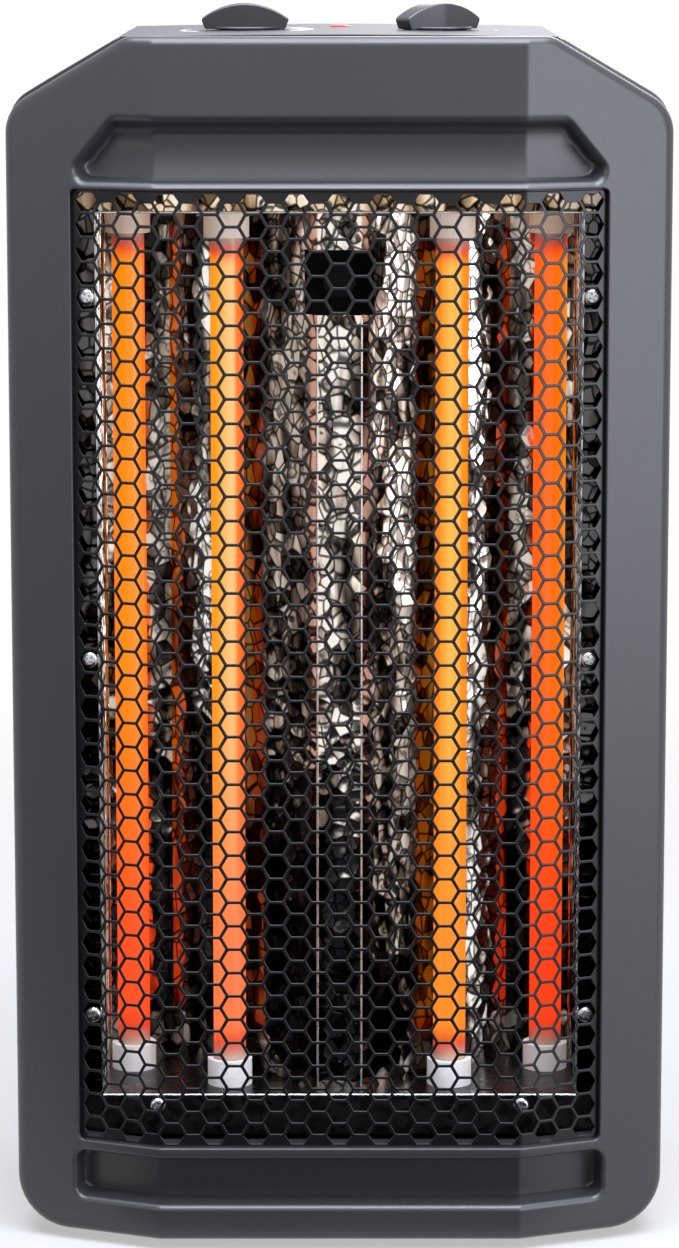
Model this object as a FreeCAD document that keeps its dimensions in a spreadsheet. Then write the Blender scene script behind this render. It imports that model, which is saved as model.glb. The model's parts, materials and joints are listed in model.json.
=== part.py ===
"""Tower quartz heater with a hexagon grille, four heating tubes and two control knobs.

Millimetres, +Z up, the front faces -Y. The origin is on the floor under the middle of the body.
"""
import FreeCAD, Part
import math
import os
from types import SimpleNamespace

import Sketcher

Vector = FreeCAD.Vector

# Driving dimensions, in millimetres unless the name says otherwise
SIZES = {
    # Case
    "body_width": 318,
    "body_depth": 190,
    "body_height": 584,
    "foot_height": 5,
    "centre_facet_width": 176,
    "wing_drop": 28.7,
    "chamfer_run": 54.2,
    "chamfer_rise": 32.2,
    "top_corner_radius": 15,
    "shoulder_radius": 20,
    "base_corner_radius": 25,
    # Front bezel
    "face_thickness": 3,
    "rim_depth": 12,
    "rim_wall": 3,
    "front_edge_radius": 4.5,
    "window_width": 255.2,
    "window_base": 46.9,
    "window_height": 465.4,
    "window_radius": 2.5,
    "lip_wall": 2.4,
    "lip_depth": 10,
    "ledge_width": 2,
    "recess_depth": 14,
    "tub_wall": 2,
    "upper_recess_base": 517.5,
    "upper_recess_height": 28.5,
    "upper_recess_width": 250,
    "upper_recess_top_width": 214,
    "upper_recess_cheek": 6.5,
    "lower_recess_base": 19,
    "lower_recess_height": 22,
    "lower_recess_width": 257,
    "recess_radius": 4,
    # Grille
    "grille_recess": 3.5,
    "grille_sheet": 0.8,
    "grille_gap": 0.5,
    "grille_side_border": 1.5,
    "grille_end_border": 1.6,
    "hexagon_width": 10.15,
    "hexagon_web": 1.5,
    "hexagon_column_share": 1.011,
    "hexagon_least_share": 0.3,
    # Rear shell
    "shell_inset": 1,
    "shell_wall": 3,
    "parting_gap": 1,
    "tongue_length": 3,
    "tongue_wall": 2,
    "tongue_clearance": 0.3,
    "rear_edge_radius": 6,
    "louvre_width": 70,
    "louvre_height": 3.5,
    "louvre_pitch": 9,
    "louvre_bridge": 12,
    "louvre_rows_count": 8,
    "upper_louvre_base": 400,
    "lower_louvre_base": 90,
    "grip_width": 112,
    "grip_height": 34,
    "grip_depth": 26,
    "grip_base": 490,
    "grip_radius": 9,
    "grip_wall": 2.5,
    # Case screws and their posts
    "post_radius": 5,
    "post_front_depth": 48,
    "post_floor": 3,
    "post_bore_radius": 3.9,
    "lower_post_across": 276,
    "lower_post_height": 28,
    "upper_post_across": 264,
    "upper_post_height": 533,
    "case_screw_head_radius": 3.5,
    "case_screw_head": 2.4,
    "case_screw_radius": 1.7,
    "case_screw_reach": 11,
    "screw_clearance": 0.15,
    # Control panel
    "panel_width": 206.4,
    "panel_gap": 0.8,
    "panel_thickness": 3,
    "panel_rise": 0.5,
    "panel_crown": 1.2,
    "panel_crown_share": 0.96,
    "panel_tail": 14,
    "panel_boss_radius": 4,
    "panel_boss_height": 6,
    "panel_boss_across": 196,
    "panel_boss_front_depth": 42,
    "panel_boss_rear_depth": 160,
    "shelf_thickness": 2.5,
    "shelf_width": 40,
    "panel_screw_head_radius": 3,
    "panel_screw_head": 2,
    "panel_screw_radius": 1.4,
    "panel_screw_reach": 6,
    # Knobs and what they turn
    "thermostat_offset": 46,
    "selector_offset": 48,
    "selector_rest_deg": 31.6,
    "knob_length": 43,
    "knob_thickness": 14,
    "knob_waist": 1.2,
    "knob_end_height": 5.7,
    "knob_height": 13,
    "knob_undercut": 2,
    "knob_skirt_radius": 17,
    "knob_skirt": 1.2,
    "knob_gap": 0.5,
    "knob_socket": 9,
    "shaft_radius": 3,
    "shaft_clearance": 0.05,
    "shaft_drop": 10,
    "bush_radius": 4.5,
    "bush_clearance": 0.2,
    "thermostat_width": 36,
    "thermostat_depth": 30,
    "thermostat_height": 27,
    "selector_width": 30,
    "selector_depth": 30,
    "selector_height": 30,
    "control_screw_pitch": 22,
    "control_screw_head_radius": 2.6,
    "control_screw_head": 1.4,
    "control_screw_radius": 1.4,
    "control_screw_reach": 6,
    "counterbore_depth": 0.9,
    # Power light
    "light_depth": 135,
    "lens_radius": 5,
    "lens_rise": 0.8,
    "lens_stem_radius": 4,
    "lens_stem": 4,
    "lamp_radius": 3.2,
    "lamp_length": 16,
    # Reflector and its frame
    "flange_depth": 28,
    "sheet_thickness": 0.8,
    "flange_width": 280,
    "chamber_width": 233,
    "chamber_base": 66.4,
    "chamber_height": 433.6,
    "trough_depth": 78,
    "trough_lean": 0.6,
    "trough_rise": 2,
    "trough_floor": 32,
    "ridge_depth": 11,
    "ridge_width": 21,
    "ridge_foot_width": 33,
    "ridge_bevel": 4,
    "ridge_hole_width": 33.6,
    "ridge_hole_base": 450,
    "ridge_hole_height": 31.5,
    "end_plate_margin": 3,
    "end_flange_cover": 0.6,
    "rail_thickness": 1.2,
    "rail_gap": 0.5,
    "rail_outer_width": 292,
    "rail_leg": 28,
    "rail_base": 48,
    "rail_height": 464,
    "cross_rail_height": 17.5,
    "pad_height": 20,
    "pad_front_depth": 44,
    "pad_length": 12,
    "rail_screw_head_radius": 3.5,
    "rail_screw_head": 2,
    "rail_screw_radius": 1.6,
    "rail_screw_reach": 7,
    "flange_screw_across": 242,
    "flange_screw_top": 460,
    "flange_screw_middle": 284,
    "flange_screw_low": 107,
    "end_screw_across": 179,
    "end_screw_height": 60.8,
    "flange_screw_head_radius": 4,
    "flange_screw_head": 2.2,
    "flange_screw_radius": 1.6,
    "flange_screw_reach": 8,
    # Quartz tubes with their windings, caps and bus bars
    "inner_tube_across": 109,
    "outer_tube_across": 207,
    "inner_tube_depth": 22,
    "outer_tube_depth": 52,
    "tube_radius": 8,
    "tube_wall": 1,
    "winding_radius": 5.5,
    "winding_wall": 0.7,
    "winding_setback": 16,
    "pin_radius": 1.5,
    "pin_bore_radius": 0.5,
    "pin_reach": 6,
    "pin_clearance": 0.1,
    "cap_radius": 11,
    "cap_height": 13,
    "cap_floor": 4,
    "cap_bore_clearance": 0.25,
    "cap_neck_radius": 5,
    "cap_neck": 4,
    "neck_clearance": 0.2,
    "bus_thickness": 0.8,
    "bus_width": 9,
    # Safety switches and wiring
    "cutout_radius": 8,
    "cutout_thickness": 9,
    "cutout_drop": 34,
    "cutout_setback": 29,
    "cutout_bracket_width": 35,
    "cutout_bracket_tail": 14,
    "cutout_bracket_foot": 15,
    "tip_switch_width": 26,
    "tip_switch_depth": 22,
    "tip_switch_height": 20,
    "tip_switch_setback": 135,
    "tip_cavity_radius": 6.4,
    "tip_cavity_height": 14,
    "plunger_radius": 4,
    "plunger_clearance": 0.08,
    "plunger_collar_radius": 6,
    "plunger_collar": 3,
    "plunger_collar_lift": 8.5,
    "plunger_floor_gap": 0.2,
    "terminal_width": 46,
    "terminal_depth": 16,
    "terminal_height": 20,
    "terminal_offset": 90,
    "terminal_base": 60,
    "gland_radius": 7,
    "gland_bore_radius": 3.6,
    "gland_flange_radius": 10,
    "gland_flange": 2.5,
    "gland_offset": 90,
    "gland_height": 40,
    "lead_radius": 1.3,
    "lead_bend_radius": 9,
    "lead_dip": 13.5,
    # Feet
    "foot_radius": 12,
    "foot_edge": 1.5,
    "foot_stem_radius": 3.8,
    "foot_stem_clearance": 0.2,
    "foot_across": 226,
    "front_foot_depth": 50,
    "rear_foot_depth": 166,
    # How far a cutting tool runs past what it cuts, and how near two points are to be one
    "overrun": 2,
    "matching_distance": 0.00001,
}

document = FreeCAD.newDocument("tower_quartz_heater")
sheet = document.addObject("Spreadsheet::Sheet", "Sizes")
for row, (alias, value) in enumerate(SIZES.items(), start=1):
    sheet.set(f"A{row}", alias.replace("_", " "))
    sheet.set(f"B{row}", str(value))
    sheet.setAlias(f"B{row}", alias)
document.recompute()


class Size:
    """A number together with the sheet formula that gives it."""

    def __init__(self, number, formula):
        self.number = number
        self.formula = formula

    def __neg__(self):
        return Size(-self.number, f"(-{self.formula})")

    def __add__(self, other):
        return Size(self.number + number_of(other), f"({self.formula} + {formula_of(other)})")

    def __radd__(self, other):
        return Size(number_of(other) + self.number, f"({formula_of(other)} + {self.formula})")

    def __sub__(self, other):
        return Size(self.number - number_of(other), f"({self.formula} - {formula_of(other)})")

    def __rsub__(self, other):
        return Size(number_of(other) - self.number, f"({formula_of(other)} - {self.formula})")

    def __mul__(self, other):
        return Size(self.number * number_of(other), f"({self.formula} * {formula_of(other)})")

    def __rmul__(self, other):
        return self * other

    def __truediv__(self, other):
        return Size(self.number / number_of(other), f"({self.formula} / {formula_of(other)})")


def number_of(item):
    return item.number if isinstance(item, Size) else float(item)


def formula_of(item):
    return item.formula if isinstance(item, Size) else repr(float(item))


mm = SimpleNamespace(**{alias: Size(float(sheet.get(alias)), f"Sizes.{alias}") for alias in SIZES})


# Helpers that make document objects bound to the sheet

# Each plane: how its sketch is turned, the way it is drawn out and the axis it is offset along
PLANES = {
    "front": (FreeCAD.Rotation(Vector(1, 0, 0), 90), Vector(0, 1, 0), "y"),
    "plan": (FreeCAD.Rotation(), Vector(0, 0, 1), "z"),
    "side": (FreeCAD.Rotation(Vector(1, 1, 1), 120), Vector(1, 0, 0), "x"),
}
ALONG = {
    "z": FreeCAD.Rotation(),
    "y": FreeCAD.Rotation(Vector(1, 0, 0), -90),
    "-y": FreeCAD.Rotation(Vector(1, 0, 0), 90),
    "x": FreeCAD.Rotation(Vector(0, 1, 0), 90),
    "-x": FreeCAD.Rotation(Vector(0, 1, 0), -90),
    "-z": FreeCAD.Rotation(Vector(1, 0, 0), 180),
}
pieces = []


def piece(item, name):
    """Lists a finished object as the sub-part of that name."""
    item.Label = name
    pieces.append(item)
    return item


def bind(item, **properties):
    for name, value in properties.items():
        item.setExpression(name, formula_of(value))
    return item


def place(item, x=0, y=0, z=0, turn=None):
    if turn is not None:
        item.Placement = FreeCAD.Placement(Vector(), turn)
    for axis, value in zip("xyz", (x, y, z)):
        item.setExpression(f"Placement.Base.{axis}", formula_of(value))
    return item


def corner_rounding(before, corner, after, radius):
    """Tangent points and centre of the arc that rounds a corner, as plain vectors."""
    to_before = (before - corner).normalize()
    to_after = (after - corner).normalize()
    half_angle = to_before.getAngle(to_after) / 2
    reach = radius / math.tan(half_angle)
    bisector = (to_before + to_after).normalize()
    centre = corner + bisector * (radius / math.sin(half_angle))
    return corner + to_before * reach, corner + to_after * reach, centre


def pin_point(sketch, geometry, position, across, up):
    """Ties one sketch point to its place on the sheet."""
    for kind, axis, value in (("DistanceX", -2, across), ("DistanceY", -1, up)):
        if isinstance(value, Size):
            index = sketch.addConstraint(
                Sketcher.Constraint(kind, -1, 1, geometry, position, number_of(value)))
            sketch.setExpression(f"Constraints[{index}]", formula_of(value))
        else:
            sketch.addConstraint(Sketcher.Constraint("PointOnObject", geometry, position, axis))


def outline(name, corners, closed=True):
    """Sketch through corners (across, up) or (across, up, radius), listed anticlockwise."""
    sketch = document.addObject("Sketcher::SketchObject", f"{name}_outline")
    points = [Vector(number_of(corner[0]), number_of(corner[1]), 0) for corner in corners]
    count = len(corners)
    entry, leave, arcs = list(points), list(points), {}
    for index, corner in enumerate(corners):
        if len(corner) == 3:
            before, point, after = points[index - 1], points[index], points[(index + 1) % count]
            entry[index], leave[index], centre = corner_rounding(before, point, after, corner[2].number)
            left_turn = (point - before).cross(after - point).z > 0
            arcs[index] = (centre, left_turn)
    lines = []
    for index in range(count if closed else count - 1):
        segment = Part.LineSegment(leave[index], entry[(index + 1) % count])
        lines.append(sketch.addGeometry(segment, False))
    for index, corner in enumerate(corners):
        across, up = corner[:2]
        if not closed and index == count - 1:
            pin_point(sketch, lines[-1], 2, across, up)
            continue
        if index in arcs:
            centre, left_turn = arcs[index]
            first, last = (entry[index], leave[index]) if left_turn else (leave[index], entry[index])
            circle = Part.Circle(centre, Vector(0, 0, 1), corner[2].number)
            arc = Part.ArcOfCircle(circle, circle.parameter(first), circle.parameter(last))
            bend = sketch.addGeometry(arc, False)
            apex = sketch.addGeometry(Part.Point(points[index]), True)
            entry_end, leave_end = (1, 2) if left_turn else (2, 1)
            sketch.addConstraint([
                Sketcher.Constraint("Tangent", lines[index - 1], 2, bend, entry_end),
                Sketcher.Constraint("Tangent", bend, leave_end, lines[index], 1),
                Sketcher.Constraint("PointOnObject", apex, 1, lines[index - 1]),
                Sketcher.Constraint("PointOnObject", apex, 1, lines[index])])
            radius = sketch.addConstraint(Sketcher.Constraint("Radius", bend, corner[2].number))
            sketch.setExpression(f"Constraints[{radius}]", formula_of(corner[2]))
            pin_point(sketch, apex, 1, across, up)
        else:
            if closed or index > 0:
                sketch.addConstraint(Sketcher.Constraint("Coincident", lines[index - 1], 2, lines[index], 1))
            pin_point(sketch, lines[index], 1, across, up)
    return sketch


def draw_out(name, sketch, plane, low, high, base=None):
    """Solid drawn out of a sketch from low to high, square to its plane."""
    turn, way, axis = PLANES[plane]
    sketch.Placement = FreeCAD.Placement(Vector(), turn)
    sketch.setExpression(f"Placement.Base.{axis}", formula_of(low))
    item = document.addObject("Part::Extrusion", name)
    item.Base = base or sketch
    item.DirMode = "Custom"
    item.Dir = way
    item.Solid = True
    return bind(item, LengthFwd=high - low)


def prism(name, plane, corners, low, high):
    return draw_out(name, outline(name, corners), plane, low, high)


def bent_sheet(name, plane, corners, thickness, low, high):
    """Folded sheet: an open line through corners, thickened to its right and drawn out."""
    sketch = outline(name, corners, closed=False)
    section = document.addObject("Part::Offset2D", f"{name}_section")
    section.Source = sketch
    section.Mode = "Skin"
    section.Join = "Tangent"
    section.Fill = True
    bind(section, Value=thickness)
    return draw_out(name, sketch, plane, low, high, section)


def turned(name, corners):
    """Solid turned about the local Z axis from corners (radius, height)."""
    sketch = outline(name, corners)
    sketch.Placement = FreeCAD.Placement(Vector(), PLANES["front"][0])
    item = document.addObject("Part::Revolution", name)
    item.Source = sketch
    item.Axis = Vector(0, 0, 1)
    item.Solid = True
    return item


def block(name, low, high):
    item = document.addObject("Part::Box", name)
    bind(item, Length=high[0] - low[0], Width=high[1] - low[1], Height=high[2] - low[2])
    return place(item, *low)


def rod(name, start, radius, length, along="z"):
    item = document.addObject("Part::Cylinder", name)
    bind(item, Radius=radius, Height=length)
    return place(item, *start, turn=ALONG[along])


def fuse(name, *items):
    item = document.addObject("Part::MultiFuse", name)
    item.Shapes = list(items)
    item.Refine = True
    return item


def common(name, *items):
    item = document.addObject("Part::MultiCommon", name)
    item.Shapes = list(items)
    return item


def cut(name, base, *tools):
    item = document.addObject("Part::Cut", name)
    item.Base = base
    item.Tool = tools[0] if len(tools) == 1 else group(f"{name}_tools", *tools)
    item.Refine = True
    return item


def group(name, *items):
    item = document.addObject("Part::Compound", name)
    item.Links = list(items)
    return item


def rectangle(half_width, low, high, radius=None):
    corners = [(-half_width, low), (half_width, low), (half_width, high), (-half_width, high)]
    return [corner + (radius,) for corner in corners] if radius else corners


# Places that several pieces share

half_width = mm.body_width / 2
front = -mm.body_depth / 2
back = mm.body_depth / 2
base = mm.foot_height
top = base + mm.body_height
crease = mm.centre_facet_width / 2
wing_slope = mm.wing_drop / (half_width - crease)
flange = front + mm.flange_depth
shell_floor = base + mm.shell_inset + mm.shell_wall
shell_back = back - mm.shell_wall
panel_edge_top = top - mm.shell_inset + mm.panel_rise
panel_under = panel_edge_top - mm.panel_thickness
crown_apex = panel_edge_top + mm.panel_crown * 2
crown_top = crown_apex - mm.panel_crown * mm.panel_crown_share
control_seat = panel_edge_top - mm.counterbore_depth
shelf_top = panel_under - mm.panel_boss_height
window_half = mm.window_width / 2
window_low = base + mm.window_base
window_high = window_low + mm.window_height
chamber_low = base + mm.chamber_base
chamber_high = chamber_low + mm.chamber_height
chamber_half = mm.chamber_width / 2
shell_front_depth = mm.rim_depth + mm.parting_gap


def wing_setback(across):
    """How far the swept wing lies behind the centre facet at that distance from the middle."""
    return (across - crease) * wing_slope


def case_corners(inset):
    """The case seen from the front, moved in by inset."""
    side = half_width - inset
    diagonal = (mm.chamfer_run.number ** 2 + mm.chamfer_rise.number ** 2) ** 0.5
    slant = Size(diagonal, f"sqrt({mm.chamfer_run.formula}^2 + {mm.chamfer_rise.formula}^2)")
    chamfer_top = half_width - mm.chamfer_run - inset * (slant - mm.chamfer_rise) / mm.chamfer_run
    chamfer_low = top - mm.chamfer_rise - inset * (slant - mm.chamfer_run) / mm.chamfer_rise
    return [
        (-side, base + inset, mm.base_corner_radius - inset),
        (side, base + inset, mm.base_corner_radius - inset),
        (side, chamfer_low, mm.shoulder_radius - inset),
        (chamfer_top, top - inset, mm.top_corner_radius - inset),
        (-chamfer_top, top - inset, mm.top_corner_radius - inset),
        (-side, chamfer_low, mm.shoulder_radius - inset),
    ]


def case_prism(name, inset, low=None, high=None):
    return prism(name, "front", case_corners(inset), low or front - mm.overrun, high or back)


def facet_slab(name, near, far=None, low=None, high=None):
    """Upright slab that follows the three front facets from depth near to depth far, or to the back."""
    reach = half_width + mm.overrun
    drop = wing_setback(reach)
    if far is None:
        rear = [(-reach, back + mm.overrun), (reach, back + mm.overrun)]
    else:
        rear = [(-reach, front + drop + far), (-crease, front + far),
                (crease, front + far), (reach, front + drop + far)]
    face = [(reach, front + drop + near), (crease, front + near),
            (-crease, front + near), (-reach, front + drop + near)]
    corners = [(x, y) for x, y in reversed(rear + face)]
    return prism(name, "plan", corners, low or base - mm.overrun, high or top + mm.overrun * 2)


def boss_places(across, height):
    return [(-across / 2, base + height), (across / 2, base + height)]


post_places = (boss_places(mm.lower_post_across, mm.lower_post_height)
               + boss_places(mm.upper_post_across, mm.upper_post_height))
post_front = front + mm.post_front_depth
post_face = post_front + mm.post_floor


def upper_recess_corners(margin):
    half = mm.upper_recess_width / 2 + margin
    half_top = mm.upper_recess_top_width / 2 + margin / 2
    low = base + mm.upper_recess_base - margin
    cheek = base + mm.upper_recess_base + mm.upper_recess_cheek
    high = base + mm.upper_recess_base + mm.upper_recess_height + margin
    radius = mm.recess_radius
    return [(-half, low, radius), (half, low, radius), (half, cheek, radius),
            (half_top, high, radius), (-half_top, high, radius), (-half, cheek, radius)]


def lower_recess_corners(margin):
    low = base + mm.lower_recess_base
    return rectangle(mm.lower_recess_width / 2 + margin, low - margin,
                     low + mm.lower_recess_height + margin, mm.recess_radius + margin)


def make_front_bezel():
    """Faceted moulded frame with the grille window and the two blind scoops."""
    solid = common("bezel_solid", case_prism("bezel_case", 0),
                   facet_slab("bezel_slab", 0, mm.rim_depth))
    document.recompute()
    rounded = document.addObject("Part::Fillet", "bezel_rounded")
    rounded.Base = solid
    radius = mm.front_edge_radius.number
    rounded.Edges = [(index, radius, radius) for index in front_edges(solid.Shape)]
    hollow = common("bezel_hollow", case_prism("bezel_inside", mm.rim_wall),
                    facet_slab("bezel_inside_slab", mm.face_thickness, mm.rim_depth + mm.overrun))
    frame = cut("bezel_frame", rounded, hollow)
    window = rectangle(window_half, window_low, window_high, mm.window_radius)
    lip_edge = rectangle(window_half + mm.lip_wall, window_low - mm.lip_wall,
                         window_high + mm.lip_wall, mm.window_radius + mm.lip_wall)
    lip = common("bezel_lip", prism("lip_block", "front", lip_edge, front, 0),
                 facet_slab("lip_slab", mm.face_thickness / 2, mm.lip_depth))
    tub_depth = mm.recess_depth + mm.tub_wall
    tubs = [common(f"{name}_tub",
                   prism(f"{name}_tub_block", "front", corners(mm.tub_wall), front, 0),
                   facet_slab(f"{name}_tub_slab", mm.face_thickness / 2, tub_depth))
            for name, corners in (("upper", upper_recess_corners), ("lower", lower_recess_corners))]
    bosses = []
    for index, (x, z) in enumerate(post_places):
        start = front + wing_setback(abs_size(x)) + mm.face_thickness / 2
        bosses.append(rod(f"bezel_boss_{index}", (x, start, z), mm.post_radius, post_front - start, "y"))
    body = fuse("bezel_body", frame, lip, *tubs, *bosses)
    seat_depth = mm.grille_recess + mm.grille_sheet
    seat = common("bezel_seat", prism("seat_block", "front", window, front - mm.overrun, 0),
                  facet_slab("seat_slab", -mm.overrun, seat_depth))
    opening = prism("bezel_opening", "front",
                    rectangle(window_half - mm.ledge_width, window_low + mm.ledge_width,
                              window_high - mm.ledge_width, mm.window_radius),
                    front - mm.overrun, 0)
    scoops = [common(f"{name}_scoop",
                     prism(f"{name}_scoop_block", "front", corners(0), front - mm.overrun, 0),
                     facet_slab(f"{name}_scoop_slab", -mm.overrun, mm.recess_depth))
              for name, corners in (("upper", upper_recess_corners), ("lower", lower_recess_corners))]
    pilots = [rod(f"bezel_pilot_{index}", (x, post_front + mm.overrun, z),
                  mm.case_screw_radius + mm.screw_clearance,
                  mm.case_screw_reach + mm.overrun * 2, "-y")
              for index, (x, z) in enumerate(post_places)]
    piece(cut("front_bezel", body, seat, opening, *scoops, *pilots), "front_bezel")


def abs_size(value):
    return value if value.number >= 0 else -value


def front_edges(shape):
    """Numbers of the edges where the facets meet the outline of the case."""
    found = []
    for index, edge in enumerate(shape.Edges, start=1):
        middle = edge.valueAt((edge.FirstParameter + edge.LastParameter) / 2)
        ends = [vertex.Point for vertex in edge.Vertexes] + [middle]
        if not all(matches(point.y, facet_face(point.x)) for point in ends):
            continue
        if matches(ends[0].x, ends[1].x) and matches(abs(ends[0].x), crease.number):
            continue
        found.append(index)
    return found


def matches(first, second):
    return abs(first - second) < mm.matching_distance.number


def facet_face(x):
    return front.number + max(0.0, abs(x) - crease.number) * wing_slope.number


def make_grille():
    """Punched steel sheet, folded at the two creases, with hexagon holes up to a narrow border."""
    half = flat_length(number_of(window_half - mm.grille_gap))
    low = number_of(window_low + mm.grille_gap)
    high = number_of(window_high - mm.grille_gap)
    hole_half = half - mm.grille_side_border.number
    hole_low = low + mm.grille_end_border.number
    hole_high = high - mm.grille_end_border.number
    holes = hexagon_holes(hole_half, hole_low, hole_high)
    lines = grille_lines(half)
    strips = [grille_strip(left, right, low, high, holes) for left, right in zip(lines, lines[1:])]
    folded = Part.Compound(strips)
    folded.sewShape()
    thick = folded.Shells[0].extrude(Vector(0, mm.grille_sheet.number, 0))
    item = document.addObject("Part::Feature", "grille")
    item.Shape = Part.makeSolid(thick)
    item.Placement = FreeCAD.Placement()
    piece(item, "grille")


def wing_stretch():
    """Length along a wing for each millimetre across."""
    return math.hypot(1, wing_slope.number)


def flat_length(across):
    """Distance from the middle along the sheet before it is folded."""
    return crease.number + (across - crease.number) * wing_stretch()


def hexagon_pitches():
    """Pitch along a column, pitch from column to column, and reach of a hexagon's side corners."""
    across = mm.hexagon_width.number
    pitch = across + mm.hexagon_web.number
    return pitch, pitch * math.sqrt(3) / 2 * mm.hexagon_column_share.number, across / math.sqrt(3)


def grille_lines(half):
    """Upright lines that divide the flat sheet: its sides, its two folds and the columns clear of them."""
    column_pitch, corner_reach = hexagon_pitches()[1:]
    fold = crease.number
    columns = int((half - corner_reach) / column_pitch)
    centres = [column * column_pitch for column in range(-columns, columns + 1)]
    clear = [x for x in centres if min(abs(abs(x) - fold), half - abs(x)) > corner_reach]
    return sorted([-half, -fold, fold, half] + clear)


def hexagon_holes(half, low, high):
    """Corner lists of the staggered hexagons, each cut off square at the border."""
    across = mm.hexagon_width.number
    pitch, column_pitch, corner_reach = hexagon_pitches()
    columns = int((half - corner_reach) / column_pitch)
    middle = (low + high) / 2
    rows = int((high - low) / pitch) + 2
    whole_area = across ** 2 * math.sqrt(3) / 2
    holes = []
    for column in range(-columns, columns + 1):
        shift = 0 if column % 2 else pitch / 2
        for row in range(-rows, rows + 1):
            centre = (column * column_pitch, middle + row * pitch + shift)
            corners = [(centre[0] + corner_reach * math.cos(math.pi / 3 * k),
                        centre[1] + corner_reach * math.sin(math.pi / 3 * k)) for k in range(6)]
            corners = clip(clip(corners, 1, low, 1), 1, high, -1)
            if corners and polygon_area(corners) > mm.hexagon_least_share.number * whole_area:
                holes.append(corners)
    return holes


def clip(corners, axis, limit, side):
    """The part of a convex polygon on one side of a line square to an axis."""
    kept = []
    for index, end in enumerate(corners):
        start = corners[index - 1]
        inside = [(point[axis] - limit) * side >= 0 for point in (start, end)]
        if inside[0] != inside[1]:
            share = (limit - start[axis]) / (end[axis] - start[axis])
            kept.append(tuple(a + (b - a) * share for a, b in zip(start, end)))
        if inside[1]:
            kept.append(end)
    return kept


def polygon_area(corners):
    twice = sum(a[0] * b[1] - b[0] * a[1] for a, b in zip(corners, corners[1:] + corners[:1]))
    return twice / 2


def grille_strip(left, right, low, high, holes):
    """One flat strip of the grille, with whole holes inside and notches along its sides."""
    inner, notches = [], {left: [], right: []}
    for corners in holes:
        part = clip(clip(corners, 0, left, 1), 0, right, -1)
        if len(part) < 3 or polygon_area(part) < mm.matching_distance.number:
            continue
        crossing = [edge for edge in (left, right)
                    if sum(matches(point[0], edge) for point in part) == 2]
        if crossing:
            notches[crossing[0]].append(part)
        else:
            inner.append(part)
    boundary = [(left, low), (right, low)]
    for part in sorted(notches[right], key=lambda corners: min(point[1] for point in corners)):
        boundary += notch_path(part, right)
    boundary += [(right, high), (left, high)]
    for part in sorted(notches[left], key=lambda corners: -min(point[1] for point in corners)):
        boundary += notch_path(part, left)
    wires = [facet_wire(boundary)] + [facet_wire(corners[::-1]) for corners in inner]
    return Part.Face(wires)


def notch_path(corners, edge):
    """Corners of a notch in the order that the sheet's outline meets them."""
    on_edge = [matches(point[0], edge) for point in corners]
    start = next(k for k in range(len(corners)) if on_edge[k] and not on_edge[k - 1])
    turned_round = corners[start:] + corners[:start]
    return turned_round[:1] + turned_round[:1:-1] + turned_round[1:2]


def facet_wire(corners):
    """Closed line through corners of the flat sheet, folded back at the creases."""
    depth = mm.grille_recess.number
    points = []
    for along, z in corners:
        past_fold = max(0.0, abs(along) - crease.number)
        x = math.copysign(abs(along) - past_fold + past_fold / wing_stretch(), along)
        points.append(Vector(x, facet_face(x) + depth, z))
    return Part.makePolygon(points + points[:1])


def make_control_panel():
    """Crowned top insert with a tail over the back edge, holes for the controls and four bosses."""
    half = mm.panel_width / 2
    section = [(front, panel_under), (back - mm.panel_thickness, panel_under),
               (back - mm.panel_thickness, panel_edge_top - mm.panel_tail),
               (back, panel_edge_top - mm.panel_tail), (back, crown_apex, mm.rear_edge_radius),
               (front, crown_apex)]
    crown = [(-half, base), (half, base), (half, panel_edge_top),
             (0, crown_apex, mm.panel_crown_share * half * half / mm.panel_crown / 2),
             (-half, panel_edge_top)]
    plate = common("panel_plate",
                   prism("panel_section", "side", section, -half, half),
                   prism("panel_crowning", "front", crown, front, back),
                   facet_slab("panel_slab", shell_front_depth))
    bosses = [rod(f"panel_boss_{index}", (x, y, shelf_top), mm.panel_boss_radius,
                  mm.panel_boss_height + mm.panel_thickness / 2)
              for index, (x, y) in enumerate(panel_boss_places())]
    holes = [rod(f"panel_pilot_{index}", (x, y, shelf_top - mm.overrun),
                 mm.panel_screw_radius + mm.screw_clearance, mm.panel_screw_reach + mm.overrun)
             for index, (x, y) in enumerate(panel_boss_places())]
    for name, offset in (("thermostat", -mm.thermostat_offset), ("selector", mm.selector_offset)):
        holes.append(rod(f"{name}_panel_hole", (offset, 0, base), mm.bush_radius + mm.bush_clearance,
                         mm.body_height * 2))
        for side, x in control_screw_places(offset):
            holes.append(rod(f"{name}_counterbore_{side}", (x, 0, control_seat),
                             mm.control_screw_head_radius + mm.screw_clearance, mm.overrun * 4))
            holes.append(rod(f"{name}_screw_hole_{side}", (x, 0, base),
                             mm.control_screw_radius + mm.screw_clearance, mm.body_height * 2))
    holes.append(rod("lens_hole", (0, front + mm.light_depth, base),
                     mm.lens_stem_radius + mm.screw_clearance, mm.body_height * 2))
    piece(cut("control_panel", fuse("panel_with_bosses", plate, *bosses), *holes), "control_panel")


def panel_boss_places():
    half = mm.panel_boss_across / 2
    return [(x, front + y) for x in (-half, half)
            for y in (mm.panel_boss_front_depth, mm.panel_boss_rear_depth)]


def control_screw_places(offset):
    return [("left", offset - mm.control_screw_pitch / 2), ("right", offset + mm.control_screw_pitch / 2)]


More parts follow.
